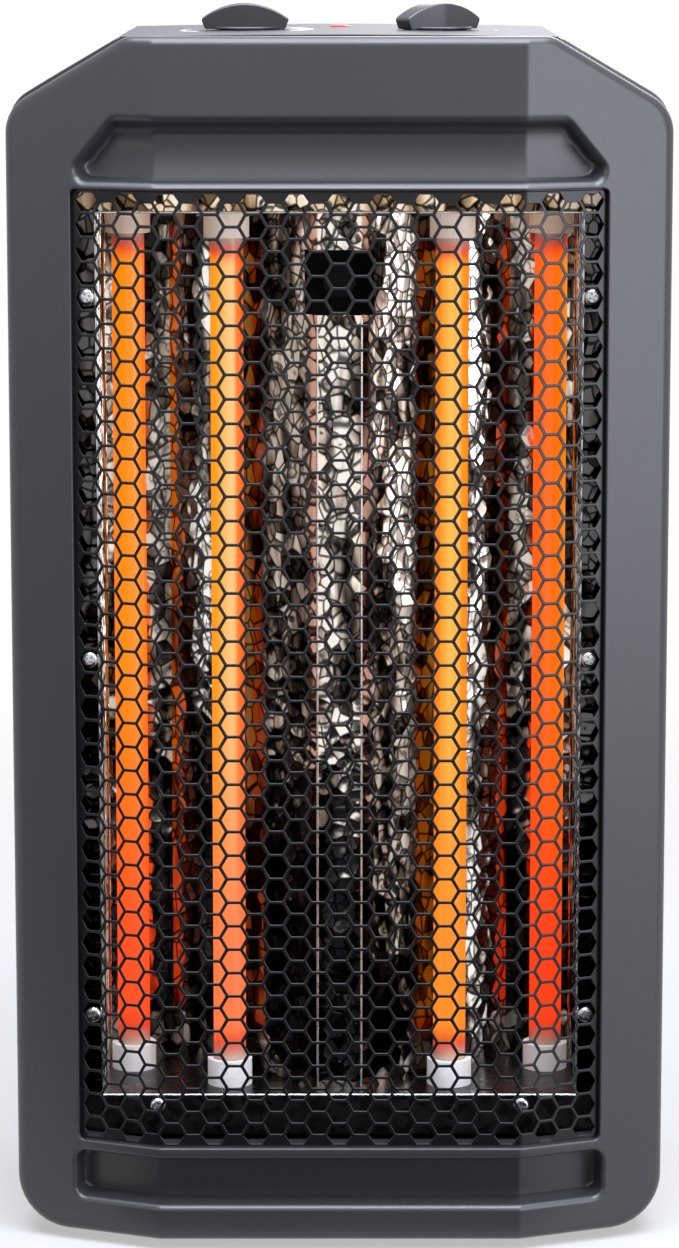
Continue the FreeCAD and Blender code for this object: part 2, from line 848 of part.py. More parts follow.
def make_rear_shell():
    """Deep moulded shell: sides, back, screw posts, louvres, hand grip and shelves for the panel."""
    solid = common("shell_solid", case_prism("shell_case", mm.shell_inset),
                   facet_slab("shell_slab", shell_front_depth))
    document.recompute()
    rounded = document.addObject("Part::Fillet", "shell_rounded")
    rounded.Base = solid
    radius = mm.rear_edge_radius.number
    rear = [index for index, edge in enumerate(solid.Shape.Edges, start=1)
            if all(matches(vertex.Y, back.number) for vertex in edge.Vertexes)]
    rounded.Edges = [(index, radius, radius) for index in rear]
    inside = mm.shell_inset + mm.shell_wall
    hollow = case_prism("shell_hollow", inside, front - mm.overrun, shell_back)
    tongue_inset = mm.rim_wall + mm.tongue_clearance
    tongue = cut("shell_tongue",
                 common("tongue_ring", case_prism("tongue_case", tongue_inset),
                        facet_slab("tongue_slab", mm.rim_depth - mm.tongue_length,
                                   shell_front_depth + mm.tongue_length)),
                 case_prism("tongue_inside", tongue_inset + mm.tongue_wall))
    posts = [rod(f"post_{index}", (x, post_front, z), mm.post_radius,
                 back - mm.shell_wall / 2 - post_front, "y") for index, (x, z) in enumerate(post_places)]
    grip_low = base + mm.grip_base
    grip_high = grip_low + mm.grip_height
    grip_half = mm.grip_width / 2
    grip_front = back - mm.grip_depth
    grip_tub = prism("grip_tub", "front",
                     rectangle(grip_half + mm.grip_wall, grip_low - mm.grip_wall, grip_high + mm.grip_wall,
                               mm.grip_radius + mm.grip_wall),
                     grip_front - mm.grip_wall, back - mm.shell_wall / 2)
    grip = prism("grip_hollow", "front", rectangle(grip_half, grip_low, grip_high, mm.grip_radius),
                 grip_front, back + mm.overrun)
    inner_case = case_prism("shell_liner", mm.shell_inset + mm.shell_wall / 2)
    shelf_inner = mm.panel_boss_across / 2 - mm.panel_boss_radius
    shelves = []
    pads = []
    for side, sign in (("left", -1), ("right", 1)):
        x_low, x_high = sorted((sign * shelf_inner, sign * (shelf_inner + mm.shelf_width)), key=number_of)
        shelf = block(f"shelf_block_{side}",
                      (x_low, front + mm.panel_boss_front_depth - mm.panel_boss_radius,
                       shelf_top - mm.shelf_thickness),
                      (x_high, shell_back + mm.shell_wall / 2, shelf_top))
        shelves.append(common(f"shelf_{side}", shelf, inner_case))
        for level, height in enumerate(flange_screw_heights()):
            x_low, x_high = sorted((sign * mm.rail_outer_width / 2,
                                    sign * (half_width - mm.shell_inset - mm.shell_wall / 2)), key=number_of)
            pads.append(block(f"pad_{side}_{level}",
                              (x_low, front + mm.pad_front_depth, base + height - mm.pad_height / 2),
                              (x_high, front + mm.pad_front_depth + mm.pad_length,
                               base + height + mm.pad_height / 2)))
    shell = fuse("shell_body", cut("shell_walls", rounded, hollow), tongue, *posts, grip_tub, *shelves, *pads)
    doorway = mm.panel_width / 2 + mm.panel_gap
    panel_room = block("panel_room", (-doorway, front - mm.overrun, shelf_top),
                       (doorway, back + mm.overrun, top + mm.overrun))
    tail_room = block("tail_room", (-doorway, back - mm.panel_thickness - mm.panel_gap,
                                    panel_edge_top - mm.panel_tail - mm.panel_gap),
                      (doorway, back + mm.overrun, top + mm.overrun))
    tools = [panel_room, tail_room, grip, *louvres(), *shell_holes()]
    piece(cut("rear_shell", shell, *tools), "rear_shell")


def louvres():
    """Rows of finger-safe slots through the back, in two groups."""
    slots = []
    for name, low in (("upper", mm.upper_louvre_base), ("lower", mm.lower_louvre_base)):
        for row in range(int(mm.louvre_rows_count.number)):
            for side, start in (("left", -mm.louvre_bridge / 2 - mm.louvre_width),
                                ("right", mm.louvre_bridge / 2)):
                z = base + low + row * mm.louvre_pitch
                slots.append(block(f"{name}_louvre_{side}_{row}", (start, shell_back - mm.overrun, z),
                                   (start + mm.louvre_width, back + mm.overrun, z + mm.louvre_height)))
    return slots


def shell_holes():
    """Bores for the case screws, rail screws, panel screws, feet, gland and plunger."""
    holes = []
    for index, (x, z) in enumerate(post_places):
        holes.append(rod(f"post_bore_{index}", (x, post_face, z), mm.post_bore_radius, mm.body_depth, "y"))
        holes.append(rod(f"post_hole_{index}", (x, post_front - mm.overrun, z),
                         mm.case_screw_radius + mm.screw_clearance, mm.post_floor + mm.overrun * 2, "y"))
    for index, (x, y) in enumerate(panel_boss_places()):
        holes.append(rod(f"shelf_hole_{index}", (x, y, shelf_top + mm.overrun),
                         mm.panel_screw_radius + mm.screw_clearance,
                         mm.shelf_thickness + mm.overrun * 2, "-z"))
    for index, (x, y, z, way) in enumerate(rail_screw_places()):
        holes.append(rod(f"pad_hole_{index}", (x, y, z), mm.rail_screw_radius + mm.screw_clearance,
                         mm.rail_screw_reach + mm.overrun / 2, way))
    for name, x, y in foot_places():
        holes.append(rod(f"{name}_hole", (x, y, 0), mm.foot_stem_radius + mm.foot_stem_clearance,
                         shell_floor + mm.overrun))
    holes.append(rod("gland_hole", (mm.gland_offset, shell_back - mm.overrun, base + mm.gland_height),
                     mm.gland_radius + mm.screw_clearance, mm.shell_wall + mm.overrun * 2, "y"))
    holes.append(rod("plunger_hole", (0, front + mm.tip_switch_setback, 0),
                     mm.plunger_radius + mm.plunger_clearance, shell_floor + mm.overrun))
    return holes


def flange_screw_heights():
    return [mm.flange_screw_low, mm.flange_screw_middle, mm.flange_screw_top]


def rail_screw_places():
    """Where each rail screw meets the inner face of a rail's side leg, and the way that it points."""
    depth = front + mm.pad_front_depth + mm.pad_length / 2
    inner = mm.rail_outer_width / 2 - mm.rail_thickness
    return ([(-inner, depth, base + height, "-x") for height in flange_screw_heights()]
            + [(inner, depth, base + height, "x") for height in flange_screw_heights()])


def foot_places():
    half = mm.foot_across / 2
    near, far = front + mm.front_foot_depth, front + mm.rear_foot_depth
    return [("front_left_foot", -half, near), ("front_right_foot", half, near),
            ("rear_left_foot", -half, far), ("rear_right_foot", half, far)]


def make_feet():
    """Rubber pads with a stem up into the floor of the shell."""
    under = base + mm.shell_inset
    for name, x, y in foot_places():
        foot = turned(name, [(0, 0), (mm.foot_radius - mm.foot_edge, 0), (mm.foot_radius, mm.foot_edge),
                             (mm.foot_radius, under), (mm.foot_stem_radius, under),
                             (mm.foot_stem_radius, shell_floor), (0, shell_floor)])
        piece(place(foot, x, y), name)


def screw(name, spot, along, head_radius, head, shank_radius, reach):
    """Screw whose head sits on the spot and whose shank points along the given way."""
    shape = turned(name, [(0, -head), (head_radius, -head), (head_radius, 0), (shank_radius, 0),
                          (shank_radius, reach), (0, reach)])
    return place(shape, *spot, turn=ALONG[along])


def make_screws():
    """Groups of like screws."""
    flange_places = [(x, z) for height in flange_screw_heights()
                     for x, z in boss_places(mm.flange_screw_across, height)]
    flange_places += boss_places(mm.end_screw_across, mm.end_screw_height)
    groups = {
        "reflector_screws": [((x, flange, z), "y", mm.flange_screw_head_radius, mm.flange_screw_head,
                              mm.flange_screw_radius, mm.flange_screw_reach) for x, z in flange_places],
        "case_screws": [((x, post_face, z), "-y", mm.case_screw_head_radius, mm.case_screw_head,
                         mm.case_screw_radius, mm.case_screw_reach) for x, z in post_places],
        "panel_screws": [((x, y, shelf_top - mm.shelf_thickness), "z", mm.panel_screw_head_radius,
                          mm.panel_screw_head, mm.panel_screw_radius, mm.panel_screw_reach)
                         for x, y in panel_boss_places()],
        "rail_screws": [((x, y, z), way, mm.rail_screw_head_radius, mm.rail_screw_head,
                         mm.rail_screw_radius, mm.rail_screw_reach) for x, y, z, way in rail_screw_places()],
        "control_screws": [((x, 0, control_seat), "-z", mm.control_screw_head_radius, mm.control_screw_head,
                            mm.control_screw_radius, mm.control_screw_reach)
                           for offset in (-mm.thermostat_offset, mm.selector_offset)
                           for _, x in control_screw_places(offset)],
    }
    for name, screws in groups.items():
        piece(group(name, *[screw(f"{name}_{index}", *one) for index, one in enumerate(screws)]), name)


def make_control(name, offset, width, depth, height, turn_deg):
    """A knob on its shaft, and the switch body with the bush that carries them."""
    knob_low = crown_top + mm.knob_gap
    half = mm.knob_length / 2
    rise = mm.knob_height - mm.knob_end_height
    arch = (half * half + rise * rise) / (2 * rise)
    peak = mm.knob_end_height + half * half / (arch - rise)
    profile = [(-half + mm.knob_undercut, 0), (half - mm.knob_undercut, 0), (half, mm.knob_end_height),
               (0, peak, arch * mm.panel_crown_share), (-half, mm.knob_end_height)]
    half_thickness = mm.knob_thickness / 2
    waist = half_thickness - mm.knob_waist
    plan = [(-half, -waist), (0, -half_thickness), (half, -waist),
            (half, waist), (0, half_thickness), (-half, waist)]
    grip = common(f"{name}_grip", prism(f"{name}_arch", "front", profile, -half_thickness, half_thickness),
                  prism(f"{name}_plan", "plan", plan, -mm.overrun, mm.knob_height + mm.overrun))
    skirt = rod(f"{name}_skirt", (0, 0, 0), mm.knob_skirt_radius, mm.knob_skirt)
    socket = rod(f"{name}_socket", (0, 0, -mm.overrun), mm.shaft_radius + mm.shaft_clearance,
                 mm.knob_socket + mm.overrun)
    knob = cut(f"{name}_knob", fuse(f"{name}_knob_solid", grip, skirt), socket)
    turn = FreeCAD.Rotation(Vector(0, 0, 1), turn_deg)
    piece(place(knob, offset, 0, knob_low, turn=turn), f"{name}_knob")
    shaft_low = panel_under - mm.shaft_drop
    shaft = rod(f"{name}_shaft", (offset, 0, shaft_low), mm.shaft_radius,
                knob_low + mm.knob_socket - shaft_low)
    piece(shaft, f"{name}_shaft")
    case = block(f"{name}_case", (offset - width / 2, -depth / 2, panel_under - height),
                 (offset + width / 2, depth / 2, panel_under))
    bush = rod(f"{name}_bush", (offset, 0, panel_under - mm.overrun), mm.bush_radius,
               panel_edge_top - panel_under + mm.overrun)
    bore = rod(f"{name}_bore", (offset, 0, shaft_low), mm.shaft_radius + mm.shaft_clearance, mm.body_height)
    threads = [rod(f"{name}_thread_{side}", (x, 0, panel_under + mm.overrun),
                   mm.control_screw_radius + mm.screw_clearance,
                   mm.control_screw_reach + mm.overrun, "-z")
               for side, x in control_screw_places(offset)]
    piece(cut(f"{name}_body", fuse(f"{name}_solid", case, bush), bore, *threads), f"{name}_body")


def make_power_light():
    """Red lens in the panel and the neon lamp pushed up behind it."""
    y = front + mm.light_depth
    stem_low = panel_under - mm.lens_stem
    lens = turned("power_light_lens", [
        (0, stem_low), (mm.lens_stem_radius, stem_low), (mm.lens_stem_radius, crown_top),
        (mm.lens_radius, crown_top),
        (mm.lens_radius, crown_top + mm.lens_rise / 2), (mm.lens_stem_radius, crown_top + mm.lens_rise),
        (0, crown_top + mm.lens_rise)])
    piece(place(lens, 0, y), "power_light_lens")
    lamp = rod("power_light_lamp", (0, y, stem_low), mm.lamp_radius, mm.lamp_length, "-z")
    piece(lamp, "power_light_lamp")


def reflector_corners():
    """Front line of the folded mirror from its right flange to its left one, seen from above."""
    half = [(mm.flange_width / 2, flange), (chamber_half, flange),
            (chamber_half - mm.trough_lean, flange + mm.trough_depth - mm.trough_rise),
            (chamber_half - mm.trough_floor, flange + mm.trough_depth),
            (mm.ridge_foot_width / 2, flange + mm.ridge_depth + mm.ridge_bevel),
            (mm.ridge_width / 2, flange + mm.ridge_depth)]
    return half + [(-x, y) for x, y in reversed(half)]


def make_reflector():
    """Folded mirror with two deep troughs and a centre ridge, and the plates that close its ends."""
    mirror = bent_sheet("reflector_sheet", "plan", reflector_corners(), mm.sheet_thickness,
                        chamber_low, chamber_high)
    hole_low = base + mm.ridge_hole_base
    hole_half = mm.ridge_hole_width / 2
    hole_back = flange + mm.ridge_depth + mm.ridge_bevel * 2
    tools = [block("ridge_hole", (-hole_half, flange, hole_low),
                   (hole_half, hole_back, hole_low + mm.ridge_hole_height))]
    tools += flange_holes("mirror", [(x, z) for height in flange_screw_heights()
                                     for x, z in boss_places(mm.flange_screw_across, height)])
    piece(cut("reflector", mirror, *tools), "reflector")
    plate_back = flange + mm.trough_depth + mm.end_plate_margin
    cover = mm.end_flange_cover
    upper = [(flange, window_high + cover), (flange, chamber_high), (plate_back, chamber_high)]
    lower = [(plate_back, chamber_low), (flange, chamber_low), (flange, window_low - cover)]
    for name, corners, screws in (
            ("upper_end_plate", upper, []),
            ("lower_end_plate", lower, boss_places(mm.end_screw_across, mm.end_screw_height))):
        sheet_item = bent_sheet(f"{name}_sheet", "side", corners, -mm.sheet_thickness,
                                -mm.flange_width / 2, mm.flange_width / 2)
        plate_half = chamber_half + mm.sheet_thickness
        sides = [block(f"{name}_notch_{side}", (low, flange + mm.sheet_thickness, base),
                       (high, back, top))
                 for side, low, high in (("left", -half_width, -plate_half),
                                         ("right", plate_half, half_width))]
        necks = [rod(f"{name}_neck_hole_{index}", (x, y, base), mm.cap_neck_radius + mm.neck_clearance,
                     mm.body_height) for index, (x, y) in enumerate(tube_places(), start=1)]
        piece(cut(name, sheet_item, *sides, *necks, *flange_holes(name, screws)), name)


def flange_holes(name, places):
    return [rod(f"{name}_screw_hole_{index}", (x, flange - mm.overrun, z),
                mm.flange_screw_radius + mm.screw_clearance, mm.flange_screw_reach + mm.overrun * 2, "y")
            for index, (x, z) in enumerate(places)]


def make_chassis():
    """Two steel angle rails behind the mirror's flanges and a cross rail under the chamber."""
    rail_front = flange + mm.sheet_thickness
    low = base + mm.rail_base
    high = low + mm.rail_height
    inner = chamber_half + mm.sheet_thickness + mm.rail_gap
    outer = mm.rail_outer_width / 2
    for name, sign in (("left_rail", -1), ("right_rail", 1)):
        corners = [(sign * inner, rail_front), (sign * outer, rail_front),
                   (sign * outer, rail_front + mm.rail_leg)]
        angle = bent_sheet(f"{name}_angle", "plan", corners, -sign * mm.rail_thickness, low, high)
        screws = [(sign * mm.flange_screw_across / 2, base + height) for height in flange_screw_heights()]
        holes = flange_holes(name, screws)
        for index, (x, y, z, way) in enumerate(rail_screw_places()):
            if x.number * sign > 0:
                holes.append(rod(f"{name}_side_hole_{index}", (x - sign * mm.overrun, y, z),
                                 mm.rail_screw_radius + mm.screw_clearance,
                                 mm.rail_thickness + mm.overrun * 2, way))
        piece(cut(name, angle, *holes), name)
    cross = block("cross_rail_block", (-inner, rail_front, low),
                  (inner, rail_front + mm.rail_thickness, low + mm.cross_rail_height))
    holes = flange_holes("cross_rail", boss_places(mm.end_screw_across, mm.end_screw_height))
    piece(cut("cross_rail", cross, *holes), "cross_rail")


def tube_places():
    inner, outer = mm.inner_tube_across / 2, mm.outer_tube_across / 2
    near, far = flange + mm.inner_tube_depth, flange + mm.outer_tube_depth
    return [(-outer, far), (-inner, near), (inner, near), (outer, far)]


def make_heating_tubes():
    """Four quartz tubes with a wound wire inside, held in ceramic caps at both ends."""
    tube_low = chamber_low + mm.cap_floor
    tube_high = chamber_high - mm.cap_floor
    neck = mm.sheet_thickness + mm.cap_neck
    bus_reach = neck + mm.bus_thickness + mm.pin_reach
    pin_low, pin_high = chamber_low - bus_reach, chamber_high + bus_reach
    coil_low, coil_high = chamber_low + mm.winding_setback, chamber_high - mm.winding_setback
    bore, wound = mm.pin_bore_radius, mm.winding_radius
    hollow = wound - mm.winding_wall
    cap_bore = mm.tube_radius + mm.cap_bore_clearance
    pin_hole = mm.pin_radius + mm.pin_clearance
    cap_section = [(pin_hole, -neck), (mm.cap_neck_radius, -neck), (mm.cap_neck_radius, 0),
                   (mm.cap_radius, 0), (mm.cap_radius, mm.cap_height), (cap_bore, mm.cap_height),
                   (cap_bore, mm.cap_floor), (pin_hole, mm.cap_floor)]
    for index, (x, y) in enumerate(tube_places(), start=1):
        tube = turned(f"quartz_tube_{index}", [
            (mm.tube_radius - mm.tube_wall, tube_low), (mm.tube_radius, tube_low),
            (mm.tube_radius, tube_high), (mm.tube_radius - mm.tube_wall, tube_high)])
        piece(place(tube, x, y), f"quartz_tube_{index}")
        winding = turned(f"heating_coil_{index}", [
            (bore, pin_low), (mm.pin_radius, pin_low), (mm.pin_radius, coil_low), (wound, coil_low),
            (wound, coil_high), (mm.pin_radius, coil_high), (mm.pin_radius, pin_high), (bore, pin_high),
            (bore, coil_high - mm.winding_wall), (hollow, coil_high - mm.winding_wall),
            (hollow, coil_low + mm.winding_wall), (bore, coil_low + mm.winding_wall)])
        piece(place(winding, x, y), f"heating_coil_{index}")
        lower = turned(f"lower_cap_{index}", cap_section)
        piece(place(lower, x, y, chamber_low), f"lower_cap_{index}")
        upper = turned(f"upper_cap_{index}", cap_section)
        piece(place(upper, x, y, chamber_high, turn=ALONG["-z"]), f"upper_cap_{index}")


def make_bus_bars():
    """Flat straps that join the pins: one over all four tubes, and one under each pair."""
    neck = mm.sheet_thickness + mm.cap_neck
    inner, outer = mm.inner_tube_across / 2, mm.outer_tube_across / 2
    near, far = flange + mm.inner_tube_depth, flange + mm.outer_tube_depth
    half = mm.bus_width / 2
    middle = (near + far) / 2
    comb = [(-outer - half, middle - half), (-inner - half, middle - half), (-inner - half, near - half),
            (-inner + half, near - half), (-inner + half, middle - half), (inner - half, middle - half),
            (inner - half, near - half), (inner + half, near - half), (inner + half, middle - half),
            (outer + half, middle - half), (outer + half, far + half), (outer - half, far + half),
            (outer - half, middle + half), (-outer + half, middle + half), (-outer + half, far + half),
            (-outer - half, far + half)]
    upper_low = chamber_high + neck
    lower_high = chamber_low - neck
    straps = {
        "upper_bus_bar": (comb, upper_low, upper_low + mm.bus_thickness),
        "inner_bus_bar": (rectangle(inner + half, near - half, near + half),
                          lower_high - mm.bus_thickness, lower_high),
        "outer_bus_bar": (rectangle(outer + half, far - half, far + half),
                          lower_high - mm.bus_thickness, lower_high),
    }
    for name, (corners, low, high) in straps.items():
        holes = [rod(f"{name}_hole_{index}", (x, y, low - mm.overrun), mm.pin_radius + mm.pin_clearance,
                     mm.bus_thickness + mm.overrun * 2)
                 for index, (x, y) in enumerate(tube_places(), start=1)]
        piece(cut(name, prism(f"{name}_strap", "plan", corners, low, high), *holes), name)


def make_thermal_cutout():
    """Disc cut-out that looks through the hole in the ridge, hung on a bracket under the upper plate."""
    leg = flange + mm.cutout_setback
    hang_low = chamber_high - mm.cutout_drop - mm.cutout_radius - mm.cutout_bracket_tail
    half = mm.cutout_bracket_width / 2
    corners = [(leg, hang_low), (leg, chamber_high), (leg + mm.cutout_bracket_foot, chamber_high)]
    piece(bent_sheet("cutout_bracket", "side", corners, mm.rail_thickness, -half, half), "cutout_bracket")
    disc = rod("thermal_cutout", (0, leg, chamber_high - mm.cutout_drop), mm.cutout_radius,
               mm.cutout_thickness, "-y")
    piece(disc, "thermal_cutout")


def make_tip_switch():
    """Micro-switch on the floor of the shell with a plunger through it that feels the ground."""
    y = front + mm.tip_switch_setback
    half_width_here, half_depth = mm.tip_switch_width / 2, mm.tip_switch_depth / 2
    case = block("tip_switch_case", (-half_width_here, y - half_depth, shell_floor),
                 (half_width_here, y + half_depth, shell_floor + mm.tip_switch_height))
    cavity = rod("tip_switch_cavity", (0, y, shell_floor - mm.overrun), mm.tip_cavity_radius,
                 mm.tip_cavity_height + mm.overrun)
    piece(cut("tip_switch_body", case, cavity), "tip_switch_body")
    collar = shell_floor + mm.plunger_collar_lift
    collar_top = collar + mm.plunger_collar
    plunger = turned("tip_plunger", [
        (0, mm.plunger_floor_gap), (mm.plunger_radius, mm.plunger_floor_gap), (mm.plunger_radius, collar),
        (mm.plunger_collar_radius, collar), (mm.plunger_collar_radius, collar_top), (0, collar_top)])
    piece(place(plunger, 0, y), "tip_plunger")


def make_mains_entry():
    """Gland in the back wall and the terminal block on it."""
    gland = turned("cord_gland", [
        (mm.gland_bore_radius, 0), (mm.gland_radius, 0), (mm.gland_radius, mm.shell_wall),
        (mm.gland_flange_radius, mm.shell_wall), (mm.gland_flange_radius, mm.shell_wall + mm.gland_flange),
        (mm.gland_bore_radius, mm.shell_wall + mm.gland_flange)])
    piece(place(gland, mm.gland_offset, back, base + mm.gland_height, turn=ALONG["-y"]), "cord_gland")
    low = base + mm.terminal_base
    terminal = block("terminal_block", (-mm.terminal_offset - mm.terminal_width / 2,
                                        shell_back - mm.terminal_depth, low),
                     (-mm.terminal_offset + mm.terminal_width / 2, shell_back, low + mm.terminal_height))
    piece(terminal, "terminal_block")


def make_lead(name, route):
    """Insulated wire of straight runs and tangent bends, from its first point to its last."""
    points = [Vector(*(number_of(value) for value in point)) for point in route]
    bend = mm.lead_bend_radius.number
    edges = []
    start = points[0]
    for before, corner, after in zip(points, points[1:], points[2:]):
        enter, leave, centre = corner_rounding(before, corner, after, bend)
        middle = centre + (corner - centre).normalize() * bend
        edges += [Part.LineSegment(start, enter).toShape(), Part.Arc(enter, middle, leave).toShape()]
        start = leave
    edges.append(Part.LineSegment(start, points[-1]).toShape())
    path = Part.Wire(edges)
    ring = Part.Wire([Part.Circle(points[0], points[1] - points[0], mm.lead_radius.number).toShape()])
    item = document.addObject("Part::Feature", name)
    item.Shape = path.makePipeShell([ring], True, True)
    item.Placement = FreeCAD.Placement()
    piece(item, name)


def make_leads():
    """Wiring from the terminal block through the controls to the bus bars."""
    neck = mm.sheet_thickness + mm.cap_neck
    bus_under = chamber_low - neck - mm.bus_thickness
    bus_over = chamber_high + neck + mm.bus_thickness
    near, far = flange + mm.inner_tube_depth, flange + mm.outer_tube_depth
    low_run = bus_under - mm.lead_dip
    spacing = mm.lead_bend_radius
    riser = front + mm.tip_switch_setback + mm.tip_switch_depth
    thermostat_under = panel_under - mm.thermostat_height
    selector_under = panel_under - mm.selector_height
    high_run = selector_under - mm.lead_bend_radius * 2
    terminal_top = base + mm.terminal_base + mm.terminal_height
    terminal_y = shell_back - mm.terminal_depth / 2
    low_x, high_x = mm.tip_switch_width, mm.tip_switch_width + spacing * 2
    step = mm.selector_depth / 4
    selector = mm.selector_offset
    make_lead("low_heat_lead", [
        (low_x, near, bus_under), (low_x, near, low_run), (low_x, riser, low_run), (low_x, riser, high_run),
        (selector, 0, high_run), (selector, 0, selector_under)])
    make_lead("high_heat_lead", [
        (high_x, far, bus_under), (high_x, far, low_run), (high_x, riser, low_run),
        (high_x, riser, high_run - spacing), (selector + spacing, step, high_run - spacing),
        (selector + spacing, step, selector_under)])
    live_x = -mm.terminal_offset - mm.terminal_width / 4
    neutral_x = -mm.terminal_offset + mm.terminal_width / 4
    bus_middle = (near + far) / 2
    neutral_run = bus_over + mm.lead_dip
    make_lead("neutral_lead", [
        (neutral_x, bus_middle, bus_over), (neutral_x, bus_middle, neutral_run),
        (neutral_x, terminal_y, neutral_run), (neutral_x, terminal_y, terminal_top)])
    make_lead("live_lead", [
        (live_x, terminal_y, terminal_top), (live_x, terminal_y, high_run),
        (-mm.thermostat_offset - spacing, 0, high_run),
        (-mm.thermostat_offset - spacing, 0, thermostat_under)])
    make_lead("link_lead", [
        (-mm.thermostat_offset + spacing, -step, thermostat_under),
        (-mm.thermostat_offset + spacing, -step, high_run),
        (selector - spacing, -step, high_run), (selector - spacing, -step, selector_under)])
    tip_top = shell_floor + mm.tip_switch_height
    cutout_back = flange + mm.cutout_setback + mm.rail_thickness
    drop = chamber_high - mm.cutout_drop
    make_lead("safety_lead", [
        (0, cutout_back, drop), (0, front + mm.tip_switch_setback, drop),
        (0, front + mm.tip_switch_setback, tip_top)])


make_front_bezel()
make_grille()
make_control_panel()
make_rear_shell()
make_feet()
make_control("thermostat", -mm.thermostat_offset, mm.thermostat_width, mm.thermostat_depth,
             mm.thermostat_height, 0)
make_control("selector", mm.selector_offset, mm.selector_width, mm.selector_depth,
             mm.selector_height, mm.selector_rest_deg.number)
make_power_light()
make_reflector()
make_chassis()
make_heating_tubes()
make_bus_bars()
make_thermal_cutout()
make_tip_switch()
make_mains_entry()
make_leads()
make_screws()
document.recompute()

for item in document.Objects:
    if "Invalid" in item.State or "Error" in item.State:
        raise RuntimeError(f"{item.Name} did not build: {item.State}")
for item in pieces:
    if item.Shape.isNull() or not item.Shape.isValid():
        raise RuntimeError(f"{item.Label} has no valid shape")
os.makedirs("parts", exist_ok=True)
for item in pieces:
    item.Shape.exportStep(f"parts/{item.Label}.step")
    print(f"{item.Label}: {len(item.Shape.Solids)} solids, {item.Shape.Volume:.0f} cubic millimetres")
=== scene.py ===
"""Looks of a tower quartz heater: a faceted moulded case, a punched grille and glowing tubes before a mirror.

Metres in the shared frame, +Z up, the front facing -Y. Sizes written below are millimetres, but for the
studio's, which are metres.
"""
import json
import math
from collections import namedtuple

import bmesh
import bpy
from mathutils import Matrix, Vector
from mathutils.geometry import delaunay_2d_cdt

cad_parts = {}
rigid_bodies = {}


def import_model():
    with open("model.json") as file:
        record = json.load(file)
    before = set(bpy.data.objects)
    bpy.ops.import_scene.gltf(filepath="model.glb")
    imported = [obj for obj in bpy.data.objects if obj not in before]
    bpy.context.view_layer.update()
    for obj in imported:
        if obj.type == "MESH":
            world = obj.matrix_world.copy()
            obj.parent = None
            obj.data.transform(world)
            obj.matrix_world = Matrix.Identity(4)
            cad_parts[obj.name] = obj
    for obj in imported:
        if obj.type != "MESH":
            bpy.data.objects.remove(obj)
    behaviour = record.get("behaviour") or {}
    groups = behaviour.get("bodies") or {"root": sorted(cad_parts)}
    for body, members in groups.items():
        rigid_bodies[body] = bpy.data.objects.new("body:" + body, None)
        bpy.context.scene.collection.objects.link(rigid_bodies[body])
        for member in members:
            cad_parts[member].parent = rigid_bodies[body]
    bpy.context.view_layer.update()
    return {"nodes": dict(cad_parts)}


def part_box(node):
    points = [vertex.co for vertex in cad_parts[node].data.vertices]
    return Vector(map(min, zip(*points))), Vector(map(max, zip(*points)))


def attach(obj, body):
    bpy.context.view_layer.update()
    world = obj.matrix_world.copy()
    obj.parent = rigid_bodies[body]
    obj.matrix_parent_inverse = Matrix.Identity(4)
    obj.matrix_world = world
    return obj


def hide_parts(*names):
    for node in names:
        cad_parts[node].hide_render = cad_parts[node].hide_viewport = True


for item in list(bpy.data.objects):
    bpy.data.objects.remove(item)
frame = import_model()
cad = frame["nodes"]

MM = 0.001
Corner = namedtuple("Corner", "x y z")


def box(node):
    """A CAD node's lowest and highest corners in millimetres, to a thousandth."""
    return [Corner(*[round(value / MM, 3) for value in corner]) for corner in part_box(node)]


# Places of the CAD pieces that the visual pieces follow
bezel_low, bezel_high = box("front_bezel")
grille_low, grille_high = box("grille")
mirror_low = box("reflector")[0]
panel_high = box("control_panel")[1]

# The front has a centre facet and, past a crease at each side, two wings that sweep back
FRONT = bezel_low.y
CREASE = 88.0
WING_SETBACK = 28.7
WING_SLOPE = WING_SETBACK / (bezel_high.x - CREASE)
CREASE_SOFTNESS = 1.2
# Points closer than this are the same point
TOLERANCE = 0.001
CREASE_STATIONS = [side * (CREASE + step * CREASE_SOFTNESS) for side in (-1, 1) for step in (-1, 0, 1)]


# Small tools

def linear(colour):
    """An sRGB hex value as linear RGBA."""
    values = [int(colour[k:k + 2], 16) / 255 for k in (1, 3, 5)]
    return [v / 12.92 if v <= 0.04045 else ((v + 0.055) / 1.055) ** 2.4 for v in values] + [1.0]


def pitch(size):
    """Texture scale that makes one feature that many millimetres wide."""
    return 1000.0 / size


def feed(tree, node, inputs):
    """Sets a node's sockets to values, or links them to the sockets that feed them."""
    for socket, value in inputs.items():
        if isinstance(value, bpy.types.NodeSocket):
            tree.links.new(value, node.inputs[socket])
        else:
            node.inputs[socket].default_value = value


def add(tree, kind, inputs=None, **settings):
    """Adds a node with its settings and what feeds its sockets."""
    made = tree.nodes.new(kind)
    for name, value in settings.items():
        setattr(made, name, value)
    feed(tree, made, inputs or {})
    return made


def new_material(name, **principled):
    """A material with its shader set, and the Object coordinates that its patterns read."""
    material = bpy.data.materials.new(name)
    material.use_nodes = True
    tree = material.node_tree
    shader = tree.nodes["Principled BSDF"]
    for socket, value in principled.items():
        shader.inputs[socket.replace("_", " ").title().replace("Ior", "IOR")].default_value = value
    return material, tree, shader, add(tree, "ShaderNodeTexCoord").outputs["Object"]


def new_object(name, data):
    """An object in the scene that holds a mesh, a light or a camera."""
    made = bpy.data.objects.new(name, data)
    bpy.context.scene.collection.objects.link(made)
    return made


def plain_mesh(made):
    """What an object's modifiers make of it, as a plain mesh. The object goes."""
    bpy.context.view_layer.update()
    evaluated = made.evaluated_get(bpy.context.evaluated_depsgraph_get())
    mesh = bpy.data.meshes.new_from_object(evaluated)
    bpy.data.objects.remove(made)
    return mesh


